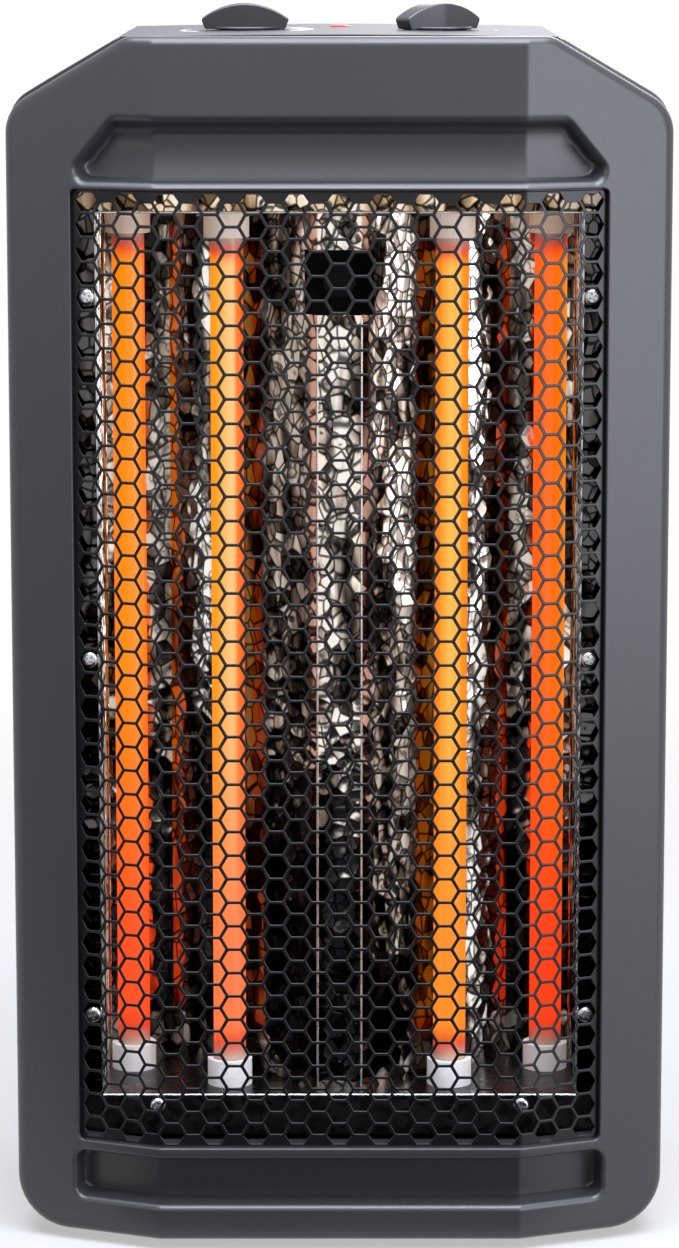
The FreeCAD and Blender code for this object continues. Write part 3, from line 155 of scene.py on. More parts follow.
def modified(mesh, kind, **settings):
    """A mesh after one modifier."""
    made = new_object("work", mesh)
    modifier = made.modifiers.new("step", kind)
    for name, value in settings.items():
        setattr(modifier, name, value)
    return plain_mesh(made)


def softly_shaded(mesh, angle=40):
    """Smooth shading that keeps flats flat and edges above the angle sharp."""
    mesh.shade_smooth()
    mesh.set_sharp_from_angle(angle=math.radians(angle))
    return modified(mesh, "WEIGHTED_NORMAL", keep_sharp=True, weight=80)


def new_piece(name, mesh, material, body="case", replaces=()):
    """A finished piece that rides on a body."""
    made = new_object(name, mesh)
    mesh.materials.clear()
    mesh.materials.append(material)
    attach(made, body)
    if replaces:
        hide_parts(*replaces)
    return made


def shades(ramp_node, stops):
    """Sets the stops of a colour ramp."""
    ramp = ramp_node.color_ramp
    for place, _ in stops[2:]:
        ramp.elements.new(place)
    for element, (place, colour) in zip(ramp.elements, stops):
        element.position = place
        element.color = linear(colour)


class Skin:
    """Points in millimetres and the faces between them."""

    def __init__(self):
        self.points = []
        self.faces = []

    def ring(self, points):
        """Adds points and returns their numbers."""
        start = len(self.points)
        self.points += [Vector(point) for point in points]
        return list(range(start, len(self.points)))

    def bridge(self, first, second):
        """Adds the faces between two closed rings of as many points."""
        count = len(first)
        for k in range(count):
            after = (k + 1) % count
            self.faces.append((first[k], first[after], second[after], second[k]))

    def loft(self, rings, capped=False):
        """Joins closed rings in turn, closes both ends if asked, and returns each ring's point numbers."""
        placed = [self.ring(points) for points in rings]
        for first, second in zip(placed, placed[1:]):
            self.bridge(first, second)
        if capped:
            self.faces.append(tuple(reversed(placed[0])))
            self.faces.append(tuple(placed[-1]))
        return placed

    def mesh(self, name, open_facing=None):
        """A merged mesh with its faces outwards, or for an open sheet towards a direction."""
        mesh = bpy.data.meshes.new(name)
        mesh.from_pydata([point * MM for point in self.points], [], self.faces)
        shape = bmesh.new()
        shape.from_mesh(mesh)
        bmesh.ops.remove_doubles(shape, verts=shape.verts, dist=TOLERANCE * MM)
        bmesh.ops.dissolve_degenerate(shape, edges=shape.edges, dist=TOLERANCE * MM)
        bmesh.ops.recalc_face_normals(shape, faces=shape.faces)
        if open_facing is not None:
            largest = max(shape.faces, key=lambda face: face.calc_area())
            if largest.normal.dot(Vector(open_facing)) < 0:
                bmesh.ops.reverse_faces(shape, faces=shape.faces)
        shape.to_mesh(mesh)
        shape.free()
        return mesh


def facet(x):
    """How far the faceted front lies behind the centre facet, with slightly soft creases."""
    past = abs(x) - CREASE
    if past <= -CREASE_SOFTNESS:
        return 0.0
    if past >= CREASE_SOFTNESS:
        return past * WING_SLOPE
    return WING_SLOPE * (past + CREASE_SOFTNESS) ** 2 / (4 * CREASE_SOFTNESS)


def circle(radius, height, count):
    """Points of a level circle about the origin."""
    turns = [math.tau * k / count for k in range(count)]
    return [(radius * math.cos(turn), radius * math.sin(turn), height) for turn in turns]


def mirrored(right):
    """An anticlockwise outline from its right-hand corners, the lowest first."""
    return [(-right[0][0], right[0][1])] + right + [(-x, z) for x, z in reversed(right[1:])]


def moved_in(corners, distances):
    """Corners of an anticlockwise outline with each side moved in by its own distance."""
    lines = []
    for k, corner in enumerate(corners):
        start, end = Vector(corner), Vector(corners[(k + 1) % len(corners)])
        along = (end - start).normalized()
        lines.append((start + Vector((-along.y, along.x)) * distances[k], along))
    moved = []
    for k in range(len(lines)):
        (start, along), (other, other_along) = lines[k - 1], lines[k]
        gap = other - start
        reach = (gap.x * other_along.y - gap.y * other_along.x) / along.cross(other_along)
        moved.append(start + along * reach)
    return moved


def rounded_loop(corners, radii, steps):
    """Closed outline with rounded corners and a point at each crease station of its long level runs."""
    arcs = []
    for k, corner in enumerate(corners):
        corner = Vector(corner)
        before = (Vector(corners[k - 1]) - corner).normalized()
        after = (Vector(corners[(k + 1) % len(corners)]) - corner).normalized()
        half = before.angle(after) / 2
        centre = corner + (before + after).normalized() * (radii[k] / math.sin(half))
        start = corner + before * (radii[k] / math.tan(half)) - centre
        first = math.atan2(start.y, start.x)
        sweep = math.pi - 2 * half
        turns = [first + sweep * step / steps for step in range(steps + 1)]
        arcs.append([centre + Vector((math.cos(turn), math.sin(turn))) * radii[k] for turn in turns])
    points = []
    for k, arc in enumerate(arcs):
        points += arc
        start, end = arc[-1], arcs[(k + 1) % len(arcs)][0]
        crossed = [x for x in CREASE_STATIONS if min(start.x, end.x) < x < max(start.x, end.x)]
        for x in sorted(crossed, reverse=start.x > end.x):
            share = (x - start.x) / (end.x - start.x)
            points.append(start.lerp(end, share))
    return points


def on_facets(loop, depth):
    """A front outline set on the three facets, or that far behind them."""
    return [(point.x, FRONT + facet(point.x) + depth, point.y) for point in loop]


def within(point, loop):
    """Whether a point lies inside a closed loop."""
    inside = False
    for first, second in zip(loop, loop[1:] + loop[:1]):
        if (first.y > point.y) != (second.y > point.y):
            if point.x < first.x + (point.y - first.y) / (second.y - first.y) * (second.x - first.x):
                inside = not inside
    return inside


def fill_face(skin, outer, holes, inner=()):
    """Fills between an outline and the holes in it, with edges along the creases.

    outer and holes are pairs of a loop and its point numbers in the skin, and inner is one for loose points.
    """
    points, numbers, edges = [], [], []
    if inner:
        points += inner[0]
        numbers += inner[1]
    for loop, indices in [outer] + holes:
        start = len(points)
        points += loop
        numbers += indices
        edges += [(start + k, start + (k + 1) % len(loop)) for k in range(len(loop))]
    for station in CREASE_STATIONS:
        column = [k for k, point in enumerate(points) if abs(point.x - station) < TOLERANCE]
        column.sort(key=lambda k: points[k].y)
        edges += list(zip(column, column[1:]))[::2]
    found, _, triangles, sources, _, _ = delaunay_2d_cdt(points, edges, [], 0, 1e-6)
    for triangle in triangles:
        middle = sum((found[k] for k in triangle), Vector((0, 0))) / 3
        if within(middle, outer[0]) and not any(within(middle, hole[0]) for hole in holes):
            skin.faces.append(tuple(numbers[sources[k][0]] for k in triangle))


# Materials

def moulded_abs(name, colour, lighter, roughness, grain, **principled):
    """ABS moulded in a spark-eroded tool: an even satin grain that spreads highlights, faintly cloudy."""
    material, tree, shader, where = new_material(name, ior=1.53, **principled)
    cloud = add(tree, "ShaderNodeTexNoise", {"Vector": where, "Scale": pitch(55), "Detail": 4.0})
    tint = add(tree, "ShaderNodeMix", {0: cloud.outputs[0], 6: linear(colour), 7: linear(lighter)},
               data_type="RGBA")
    # The real grain is about 0.1 mm; it is drawn coarser so that it shows
    pits = add(tree, "ShaderNodeTexNoise", {"Vector": where, "Scale": pitch(grain), "Detail": 2.0})
    satin = add(tree, "ShaderNodeMapRange", {"Value": pits.outputs[0], "From Min": 0.3, "From Max": 0.7,
                                             "To Min": roughness - 0.06, "To Max": roughness + 0.06})
    relief = add(tree, "ShaderNodeBump", {"Height": pits.outputs[0], "Strength": 0.25, "Distance": 0.05 * MM})
    feed(tree, shader, {"Base Color": tint.outputs[2], "Roughness": satin.outputs[0],
                        "Normal": relief.outputs[0]})
    return material


def black_enamel():
    """Steel sheet dipped in black stove enamel: deep black, glossy, with a faint orange-peel skin."""
    material, tree, shader, where = new_material("black_stove_enamel", ior=1.5, roughness=0.24,
                                                 specular_ior_level=0.36)
    peel = add(tree, "ShaderNodeTexNoise", {"Vector": where, "Scale": pitch(1.6), "Detail": 2.0})
    relief = add(tree, "ShaderNodeBump", {"Height": peel.outputs[0], "Strength": 0.2, "Distance": 0.05 * MM})
    dust = add(tree, "ShaderNodeTexNoise", {"Vector": where, "Scale": pitch(30), "Detail": 3.0})
    tint = add(tree, "ShaderNodeMix", {0: dust.outputs[0], 6: linear("#0B0B0D"), 7: linear("#141416")},
               data_type="RGBA")
    feed(tree, shader, {"Base Color": tint.outputs[2], "Normal": relief.outputs[0]})
    return material


# How far from the middle the mirror's zones of painted reflection and shade reach
ZONE_REACH = 130.0


def hammered_mirror(name, stain_and_reflection_shades, painted_reflection_zones):
    """Hammered bright aluminium that has been hot: small shining dimples that throw the light forwards, with
    painted shade on the rims between them, each shaded a little differently from cream to brown by tarnishing
    and painted reflection, and with zones of painted reflection and shade across its width.
    """
    material, tree, shader, where = new_material(name, metallic=1.0, roughness=0.07)
    drawn = add(tree, "ShaderNodeMapping", {"Vector": where, "Scale": (1.0, 1.0, 0.75)})
    waves = add(tree, "ShaderNodeTexNoise", {"Vector": where, "Scale": pitch(26), "Detail": 2.0})
    warped = add(tree, "ShaderNodeMix", {0: 0.006, 4: drawn.outputs[0], 5: waves.outputs["Color"]},
                 data_type="VECTOR")
    cells = {"Vector": warped.outputs[1], "Scale": pitch(6.5)}
    dimples = add(tree, "ShaderNodeTexVoronoi", cells)
    rims = add(tree, "ShaderNodeTexVoronoi", cells, feature="DISTANCE_TO_EDGE")
    bowls = add(tree, "ShaderNodeBump", {"Height": dimples.outputs["Distance"], "Strength": 0.6,
                                         "Distance": 1.0 * MM})
    relief = add(tree, "ShaderNodeBump", {"Height": waves.outputs[0], "Strength": 1.0, "Distance": 2.2 * MM,
                                          "Normal": bowls.outputs[0]})
    flutes = add(tree, "ShaderNodeMix", {0: 0.62, 4: relief.outputs[0], 5: (0.0, -1.0, 0.0)},
                 data_type="VECTOR")
    facing = add(tree, "ShaderNodeVectorMath", {0: flutes.outputs[1]}, operation="NORMALIZE")
    # Each dimple has its own shade, and longer streaks run over them: tarnishing together with painted
    # reflection
    own = add(tree, "ShaderNodeSeparateColor", {"Color": dimples.outputs["Color"]})
    long_drawn = add(tree, "ShaderNodeMapping", {"Vector": where, "Scale": (1.0, 1.0, 0.22)})
    streaks = add(tree, "ShaderNodeTexNoise", {"Vector": long_drawn.outputs[0], "Scale": pitch(16),
                                               "Detail": 3.0})
    tone = add(tree, "ShaderNodeMath", {0: streaks.outputs[0], 1: 2.4, 2: -0.95}, operation="MULTIPLY_ADD")
    mixed = add(tree, "ShaderNodeMath", {0: own.outputs[0], 1: 0.5, 2: tone.outputs[0]},
                operation="MULTIPLY_ADD")
    stain_and_reflection = add(tree, "ShaderNodeValToRGB", {"Fac": mixed.outputs[0]})
    shades(stain_and_reflection, stain_and_reflection_shades)
    # Painted shade: the rims between the dimples are darkened
    rim = add(tree, "ShaderNodeMapRange", {"Value": rims.outputs["Distance"], "From Min": 0.03,
                                           "From Max": 0.1, "To Min": 0.12, "To Max": 1.0})
    edged = add(tree, "ShaderNodeMix", {0: 1.0, 6: stain_and_reflection.outputs[0], 7: rim.outputs[0]}, data_type="RGBA",
                blend_type="MULTIPLY")
    # Distance from the middle plane, as a share of the zones' reach
    place = add(tree, "ShaderNodeSeparateXYZ", {"Vector": where})
    out = add(tree, "ShaderNodeMath", {0: place.outputs["X"]}, operation="ABSOLUTE")
    share = add(tree, "ShaderNodeMapRange", {"Value": out.outputs[0], "From Max": ZONE_REACH * MM})
    zones = add(tree, "ShaderNodeValToRGB", {"Fac": share.outputs[0]})
    shades(zones, painted_reflection_zones)
    tint = add(tree, "ShaderNodeMix", {0: 1.0, 6: edged.outputs[2], 7: zones.outputs[0]}, data_type="RGBA",
               blend_type="MULTIPLY")
    feed(tree, shader, {"Base Color": tint.outputs[2], "Normal": facing.outputs[0]})
    return material


def zinc_plate(name, colour, roughness):
    """Zinc-plated steel: grey metal with a spangle of crystals a few millimetres across."""
    material, tree, shader, where = new_material(name, metallic=1.0)
    spangle = add(tree, "ShaderNodeTexVoronoi", {"Vector": where, "Scale": pitch(4)})
    tone = add(tree, "ShaderNodeSeparateColor", {"Color": spangle.outputs["Color"]})
    satin = add(tree, "ShaderNodeMapRange", {"Value": tone.outputs[0], "To Min": roughness - 0.06,
                                             "To Max": roughness + 0.08})
    level = add(tree, "ShaderNodeMapRange", {"Value": tone.outputs[1], "To Min": 0.88, "To Max": 1.06})
    tint = add(tree, "ShaderNodeHueSaturation", {"Color": linear(colour), "Value": level.outputs[0]})
    feed(tree, shader, {"Base Color": tint.outputs[0], "Roughness": satin.outputs[0]})
    return material


# Distances from a tube's upper and lower ends over which its glow starts, and turns from red to full colour
DARK_ENDS = ((10.0, 17.0), (10.6, 18.6))
RED_ENDS = ((13.0, 24.0), (14.6, 28.6))
# Heights above a tube's lower end between which the redder foot passes into the main colours
FOOT_FADE = (44.6, 224.6)


def glowing_quartz(name, node, across_colours, low_colour):
    """Satin quartz lit from inside by a hot winding: brightest along its middle, red near its ends."""
    material, tree, shader, where = new_material(name, ior=1.46, roughness=0.22)
    low, high = box(node)
    place = add(tree, "ShaderNodeSeparateXYZ", {"Vector": where})
    side = add(tree, "ShaderNodeMapRange", {"Value": place.outputs["X"], "From Min": low.x * MM,
                                            "From Max": high.x * MM})
    across = add(tree, "ShaderNodeValToRGB", {"Fac": side.outputs[0]})
    shades(across, across_colours)
    foot, full = [(low.z + rise) * MM for rise in FOOT_FADE]
    fade = add(tree, "ShaderNodeMapRange", {"Value": place.outputs["Z"], "From Min": foot, "From Max": full},
               interpolation_type="SMOOTHSTEP")
    body = add(tree, "ShaderNodeMix", {0: fade.outputs[0], 6: linear(low_colour), 7: across.outputs[0]},
               data_type="RGBA")
    heat = []
    for (upper, lower), easing in ((RED_ENDS, "SMOOTHSTEP"), (DARK_ENDS, "LINEAR")):
        ends = []
        for start, end in ((high.z - upper[0], high.z - upper[1]), (low.z + lower[0], low.z + lower[1])):
            edge = add(tree, "ShaderNodeMapRange", {"Value": place.outputs["Z"], "From Min": start * MM,
                                                    "From Max": end * MM}, interpolation_type=easing)
            ends.append(edge.outputs[0])
        heat.append(add(tree, "ShaderNodeMath", {0: ends[0], 1: ends[1]}, operation="MULTIPLY").outputs[0])
    hot, lit = heat
    reddened = add(tree, "ShaderNodeMix", {0: hot, 6: linear("#E83A18"), 7: body.outputs[2]},
                   data_type="RGBA")
    streaks = add(tree, "ShaderNodeMapping", {"Vector": where, "Scale": (1.0, 1.0, 0.02)})
    drawn = add(tree, "ShaderNodeTexNoise", {"Vector": streaks.outputs[0], "Scale": pitch(1.2)})
    milk = add(tree, "ShaderNodeMix", {0: drawn.outputs[0], 6: linear("#2E1E16"), 7: linear("#3C2A20")},
               data_type="RGBA")
    bare = add(tree, "ShaderNodeMix", {0: lit, 6: linear("#D0B09A"), 7: milk.outputs[2]}, data_type="RGBA")
    feed(tree, shader, {"Emission Color": reddened.outputs[2], "Emission Strength": lit,
                        "Base Color": bare.outputs[2]})
    return material


def hot_wire():
    """Resistance wire in close turns at orange heat, brighter on the crown of each turn."""
    material, tree, shader, where = new_material("glowing_resistance_wire", metallic=1.0, roughness=0.5,
                                                 emission_strength=1.0)
    # The turns are drawn coarser than the wire's own, about 9 mm apart
    turns = add(tree, "ShaderNodeTexWave", {"Vector": where, "Scale": pitch(1.4) / 20}, bands_direction="Z")
    tint = add(tree, "ShaderNodeMix", {0: turns.outputs[1], 6: linear("#C24A10"), 7: linear("#FFA030")},
               data_type="RGBA")
    feed(tree, shader, {"Emission Color": tint.outputs[2], "Base Color": tint.outputs[2]})
    return material


def speckled(name, colour, speck, size, roughness, bump=0.1, **principled):
    """A plain moulded, fired or rubbed surface with fine specks and a slightly uneven skin."""
    material, tree, shader, where = new_material(name, **principled)
    specks = add(tree, "ShaderNodeTexNoise", {"Vector": where, "Scale": pitch(size), "Detail": 3.0})
    tint = add(tree, "ShaderNodeMix", {0: specks.outputs[0], 6: linear(colour), 7: linear(speck)},
               data_type="RGBA")
    satin = add(tree, "ShaderNodeMapRange", {"Value": specks.outputs[0], "To Min": roughness - 0.08,
                                             "To Max": roughness + 0.08})
    relief = add(tree, "ShaderNodeBump", {"Height": specks.outputs[0], "Strength": bump,
                                          "Distance": 0.1 * MM})
    feed(tree, shader, {"Base Color": tint.outputs[2], "Roughness": satin.outputs[0],
                        "Normal": relief.outputs[0]})
    return material


bezel_abs = moulded_abs("satin_charcoal_abs", "#2C2C2F", "#303033", 0.33, 0.5)
shell_abs = moulded_abs("grained_charcoal_abs", "#2C2C2F", "#313134", 0.46, 0.7)
panel_abs = moulded_abs("satin_panel_abs", "#343438", "#39393D", 0.5, 0.5, specular_ior_level=0.4)
knob_abs = moulded_abs("smooth_knob_abs", "#242427", "#29292C", 0.34, 0.4)
enamel = black_enamel()
# Shades of the mirror's dimples, from near black to near white: tarnishing together with painted reflection
tarnish_and_reflection_stops = [(0.16, "#2A2724"), (0.33, "#70645C"), (0.46, "#C2B4A8"), (0.6, "#FFFAF4")]
light_tarnish_and_reflection_stops = [(0.2, "#6E5E4E"), (0.38, "#C8B49C"), (0.52, "#F4E6D2"), (0.7, "#FFFFFF")]
# Across its width the mirror carries painted reflection and shade: near white where it mirrors bright
# surroundings, darker bands between the tubes, dark grey over the flanges
mirror = hammered_mirror("hammered_mirror_sheet", tarnish_and_reflection_stops, [
    (0.0, "#FFFFFF"), (0.078, "#FFF6EA"), (0.085, "#D8A898"), (0.11, "#B88C7C"), (0.125, "#B8AAA0"),
    (0.24, "#D0C6BC"), (0.27, "#847A72"), (0.36, "#7A7068"), (0.38, "#E4DED8"), (0.48, "#FFFFFF"),
    (0.52, "#FFFFFF"), (0.55, "#EAE4DE"), (0.6, "#C0B8B0"), (0.67, "#A8A098"), (0.7, "#DAD2CA"),
    (0.82, "#E2DAD2"), (0.85, "#FFF8F0"), (0.888, "#FFF8F0"), (0.9, "#5A5A5C"), (1.0, "#505052")])
# The end sheet carries lighter painted reflection, darker towards its ends
end_mirror = hammered_mirror("hammered_end_sheet", light_tarnish_and_reflection_stops,
                             [(0.0, "#FFF2E0"), (0.7, "#FFEED8"), (1.0, "#8A8078")])
zinc_sheet = zinc_plate("zinc_plated_sheet", "#B4B0A8", 0.38)
# Painted shade: the lower end plate's metal is made dark grey to stand in for the dark surroundings it
# reflects
dark_sheet = zinc_plate("painted_dark_reflection_sheet", "#3A3A3E", 0.3)
zinc_screw = zinc_plate("bright_zinc_screw", "#D8DADC", 0.24)
brass = zinc_plate("stamped_brass_strip", "#C8A860", 0.34)
wire = hot_wire()
# Both carry a painted glow, an emission that stands in for the light of the tube ends; the upper caps are
# also stained by the heat that rises to them, and their painted glow is warmer
ceramic = speckled("unglazed_ceramic_painted_glow", "#ECECEC", "#DCDAD8", 1.2, 0.7, 0.2, emission_color=linear("#FFF0EA"),
                   emission_strength=0.12)
stained_glow_painted_ceramic = speckled("heat_stained_ceramic_painted_glow", "#F4EEE2", "#E4D8C6", 1.2, 0.7, 0.2,
                           emission_color=linear("#FFC8A0"), emission_strength=0.16)
rubber = speckled("moulded_rubber", "#1C1C1D", "#252526", 2.0, 0.8, 0.2)
black_phenolic = speckled("black_phenolic", "#1E1E20", "#2A2A2C", 1.5, 0.45)
heat_paint = speckled("matt_heat_proof_paint", "#0A0A0B", "#111112", 1.5, 0.85, specular_ior_level=0.15)
pale_nylon = speckled("pale_nylon", "#CFCBBE", "#DAD6CA", 2.0, 0.5)
silicone = speckled("red_silicone_sleeve", "#A03A2A", "#B04836", 1.5, 0.6)
neon_glass = speckled("neon_lamp_glass", "#E8C8A8", "#F0D8C0", 2.0, 0.2, 0.05)
white_ink = speckled("white_pad_print", "#E4E4E2", "#F0F0EE", 0.8, 0.55, 0.05)
grey_ink = speckled("grey_pad_print", "#8C8C90", "#9A9A9E", 0.8, 0.55, 0.05)
# Lit from behind by the lamp
red_lens = speckled("clear_red_acrylic", "#C01818", "#D82420", 1.0, 0.18, 0.05, ior=1.49,
                    emission_color=linear("#E02A20"), emission_strength=0.35)

left_outer_colours = [(0.0, "#FF7A1C"), (0.2, "#FF8C00"), (0.78, "#FF9000"), (1.0, "#FF7000")]
right_outer_colours = [(0.0, "#FF5A10"), (0.25, "#FF6400"), (0.75, "#FF7000"), (1.0, "#FF8A10")]
left_inner_colours = [(0.0, "#FF9408"), (0.22, "#FFA41C"), (0.4, "#FFB858"), (0.62, "#FFC884"),
                      (0.72, "#FFB048"), (0.8, "#FF7A10"), (1.0, "#FF5A10")]
right_inner_colours = [(0.0, "#FF7410"), (0.2, "#FF9A10"), (0.45, "#FFBE4C"), (0.62, "#FFB230"),
                       (0.8, "#FF9A00"), (1.0, "#FF8200")]
glows = [(left_outer_colours, "#FF4E1E"), (left_inner_colours, "#FF7A44"),
         (right_inner_colours, "#FF8E1C"), (right_outer_colours, "#FF3E10")]

finishes = {
    "rear_shell": shell_abs, "control_panel": panel_abs, "power_light_lens": red_lens,
    "power_light_lamp": neon_glass, "reflector": mirror, "upper_end_plate": end_mirror,
    "lower_end_plate": dark_sheet, "cutout_bracket": heat_paint, "thermal_cutout": heat_paint,
    "tip_plunger": pale_nylon, "terminal_block": pale_nylon, "cord_gland": rubber, "front_bezel": bezel_abs,
    "grille": enamel,
}
for k, (across_colours, low_colour) in enumerate(glows, start=1):
    tube = f"quartz_tube_{k}"
    finishes[tube] = glowing_quartz(f"satin_quartz_{k}", tube, across_colours, low_colour)
# Pieces whose names share an ending or a start
families = {"_foot": rubber, "_lead": silicone, "_rail": zinc_sheet, "_bar": brass, "_shaft": zinc_screw,
            "_screws": zinc_screw, "_body": black_phenolic, "_knob": knob_abs, "lower_cap": ceramic,
            "upper_cap": stained_glow_painted_ceramic, "heating_coil": wire}
for name in cad:
    for family, material in families.items():
        if name.endswith(family) or name.startswith(family):
            finishes[name] = material
for name, material in finishes.items():
    cad[name].data.materials.clear()
    cad[name].data.materials.append(material)


# Front bezel

# The case narrows at its slanted shoulders, and the bezel stops a little short of the shell along them
SHOULDER_DROP, TOP_HALF = 32.2, 104.8
SHOULDER_STEP = 2.4
BASE_RADIUS, SHOULDER_RADIUS, TOP_RADIUS = 25.0, 20.0, 15.0
CASE = mirrored([(bezel_high.x, bezel_low.z), (bezel_high.x, bezel_high.z - SHOULDER_DROP),
                 (TOP_HALF, bezel_high.z)])
CASE_RADII = [BASE_RADIUS, BASE_RADIUS, SHOULDER_RADIUS, TOP_RADIUS, TOP_RADIUS, SHOULDER_RADIUS]
# The rounded rim, and how far back the straight side behind it goes
RIM_RADIUS, RIM_DEPTHS = 4.5, (12.0, 8.0)
BEZEL_WALL = 2.2

# The window clears the grille and has a ledge behind its edge
GRILLE_CLEARANCE = 0.5
WINDOW_HALF = grille_high.x + GRILLE_CLEARANCE
WINDOW_LOW, WINDOW_HIGH = grille_low.z - GRILLE_CLEARANCE, grille_high.z + GRILLE_CLEARANCE
WINDOW = mirrored([(WINDOW_HALF, WINDOW_LOW), (WINDOW_HALF, WINDOW_HIGH)])
WINDOW_RADIUS, WINDOW_EDGE_RADIUS = 2.5, 0.9
LEDGE_DEPTH, LEDGE_WIDTH, LEDGE_BACK = 4.3, 2.0, 10.0

# The upper scoop has upright cheeks and slanted upper corners, and the lower one is a plain rectangle
UPPER_GAP, CHEEK_HEIGHT, SLANT_HEIGHT = 5.2, 6.5, 22.0
UPPER_HALF, UPPER_TOP_HALF = 125.0, 107.0
UPPER_LOW = WINDOW_HIGH + UPPER_GAP
CHEEK_TOP = UPPER_LOW + CHEEK_HEIGHT
UPPER_SCOOP = mirrored([(UPPER_HALF, UPPER_LOW), (UPPER_HALF, CHEEK_TOP),
                        (UPPER_TOP_HALF, CHEEK_TOP + SLANT_HEIGHT)])
LOWER_GAP, LOWER_HEIGHT, LOWER_HALF = 5.9, 22.0, 128.5
LOWER_HIGH = WINDOW_LOW - LOWER_GAP
LOWER_SCOOP = mirrored([(LOWER_HALF, LOWER_HIGH - LOWER_HEIGHT), (LOWER_HALF, LOWER_HIGH)])
# Depths of a scoop's lip, wall and floor, and of the rings that its skin is drawn through
LIP_DEPTH, WALL_DEPTH, FLOOR_DEPTH = 2.8, 10.0, 14.0
RING_DEPTHS = [0.0, 0.15, 0.6, 1.4, LIP_DEPTH, 6.0, WALL_DEPTH, 12.4, 13.5, FLOOR_DEPTH]
# For each side of a scoop: how far in its lip starts, its lip ends, its wall ends and its floor starts, and
# how round its lip is, 1 being a straight slope. "corner" gives the corners' radius at the same places.
UPPER_SIDES = {"low": (-4.3, -1.0, 0.0, 0.3, 1.4), "cheek": (-3.2, 0.5, 3.4, 9.0, 2.1),
               "slant": (-2.4, 1.0, 2.8, 6.0, 2.3), "high": (-2.4, 2.0, 3.6, 12.5, 2.7),
               "corner": (7.6, 4.6, 4.0, 3.0, 2.3)}
LOWER_SIDES = {"low": (-4.0, -0.6, 0.0, 0.3, 2.2), "cheek": (-3.2, 0.0, 1.8, 5.0, 2.7),
               "high": (-2.6, 0.0, 0.8, 3.2, 2.9), "corner": (7.5, 4.4, 3.8, 2.6, 2.5)}
# The upper floor deepens over this height, from the first share of its depth by the second
CURVE_DROP, CURVE_HEIGHT = 1.5, 25.0
SHALLOW_SHARE, DEEPENING_SHARE = 0.62, 0.46
# Heights above the upper scoop's lower edge, and the spacing, of the points that carry its curved floor
FLOOR_RISES = (2.0, 3.5, 5.0, 7.0, 9.0, 11.0, 13.0, 14.5)
FLOOR_STEP = 20.0


def scoop_side(side, depth):
    """How far in a side of a scoop lies at a depth: a rolled lip, a drafted wall and a round foot."""
    lip_start, lip_end, wall_end, floor_start, roundness = side
    if depth <= LIP_DEPTH:
        return lip_start + (lip_end - lip_start) * (depth / LIP_DEPTH) ** (1 / roundness)
    if depth <= WALL_DEPTH:
        return lip_end + (wall_end - lip_end) * (depth - LIP_DEPTH) / (WALL_DEPTH - LIP_DEPTH)
    share = (depth - WALL_DEPTH) / (FLOOR_DEPTH - WALL_DEPTH)
    return wall_end + (floor_start - wall_end) * (1 - math.sqrt(1 - share ** 2))


def scoop_loops(corners, sides, order):
    """Outlines of a scoop at each ring's depth; order names the side after each corner."""
    loops = []
    for depth in RING_DEPTHS:
        inner = moved_in(corners, [scoop_side(sides[name], depth) for name in order])
        loops.append(rounded_loop(inner, [scoop_side(sides["corner"], depth)] * len(corners), 5))
    return loops


def scoop_depth(depth, height):
    """The upper scoop's floor curves: deep and upright at its top, shallower and tilted at its lower lip."""
    if depth <= LIP_DEPTH:
        return depth
    share = min(1.0, max(0.0, (height - UPPER_LOW + CURVE_DROP) / CURVE_HEIGHT))
    scale = SHALLOW_SHARE + DEEPENING_SHARE * math.sin(share * math.pi / 2)
    return LIP_DEPTH + (depth - LIP_DEPTH) * scale


def quarter_round(radius, steps):
    """Pairs that go from (radius, 0) to (0, radius) along a quarter circle about (radius, radius)."""
    turns = [math.pi / 2 * k / steps for k in range(steps + 1)]
    return [(radius * (1 - math.sin(turn)), radius * (1 - math.cos(turn))) for turn in turns]


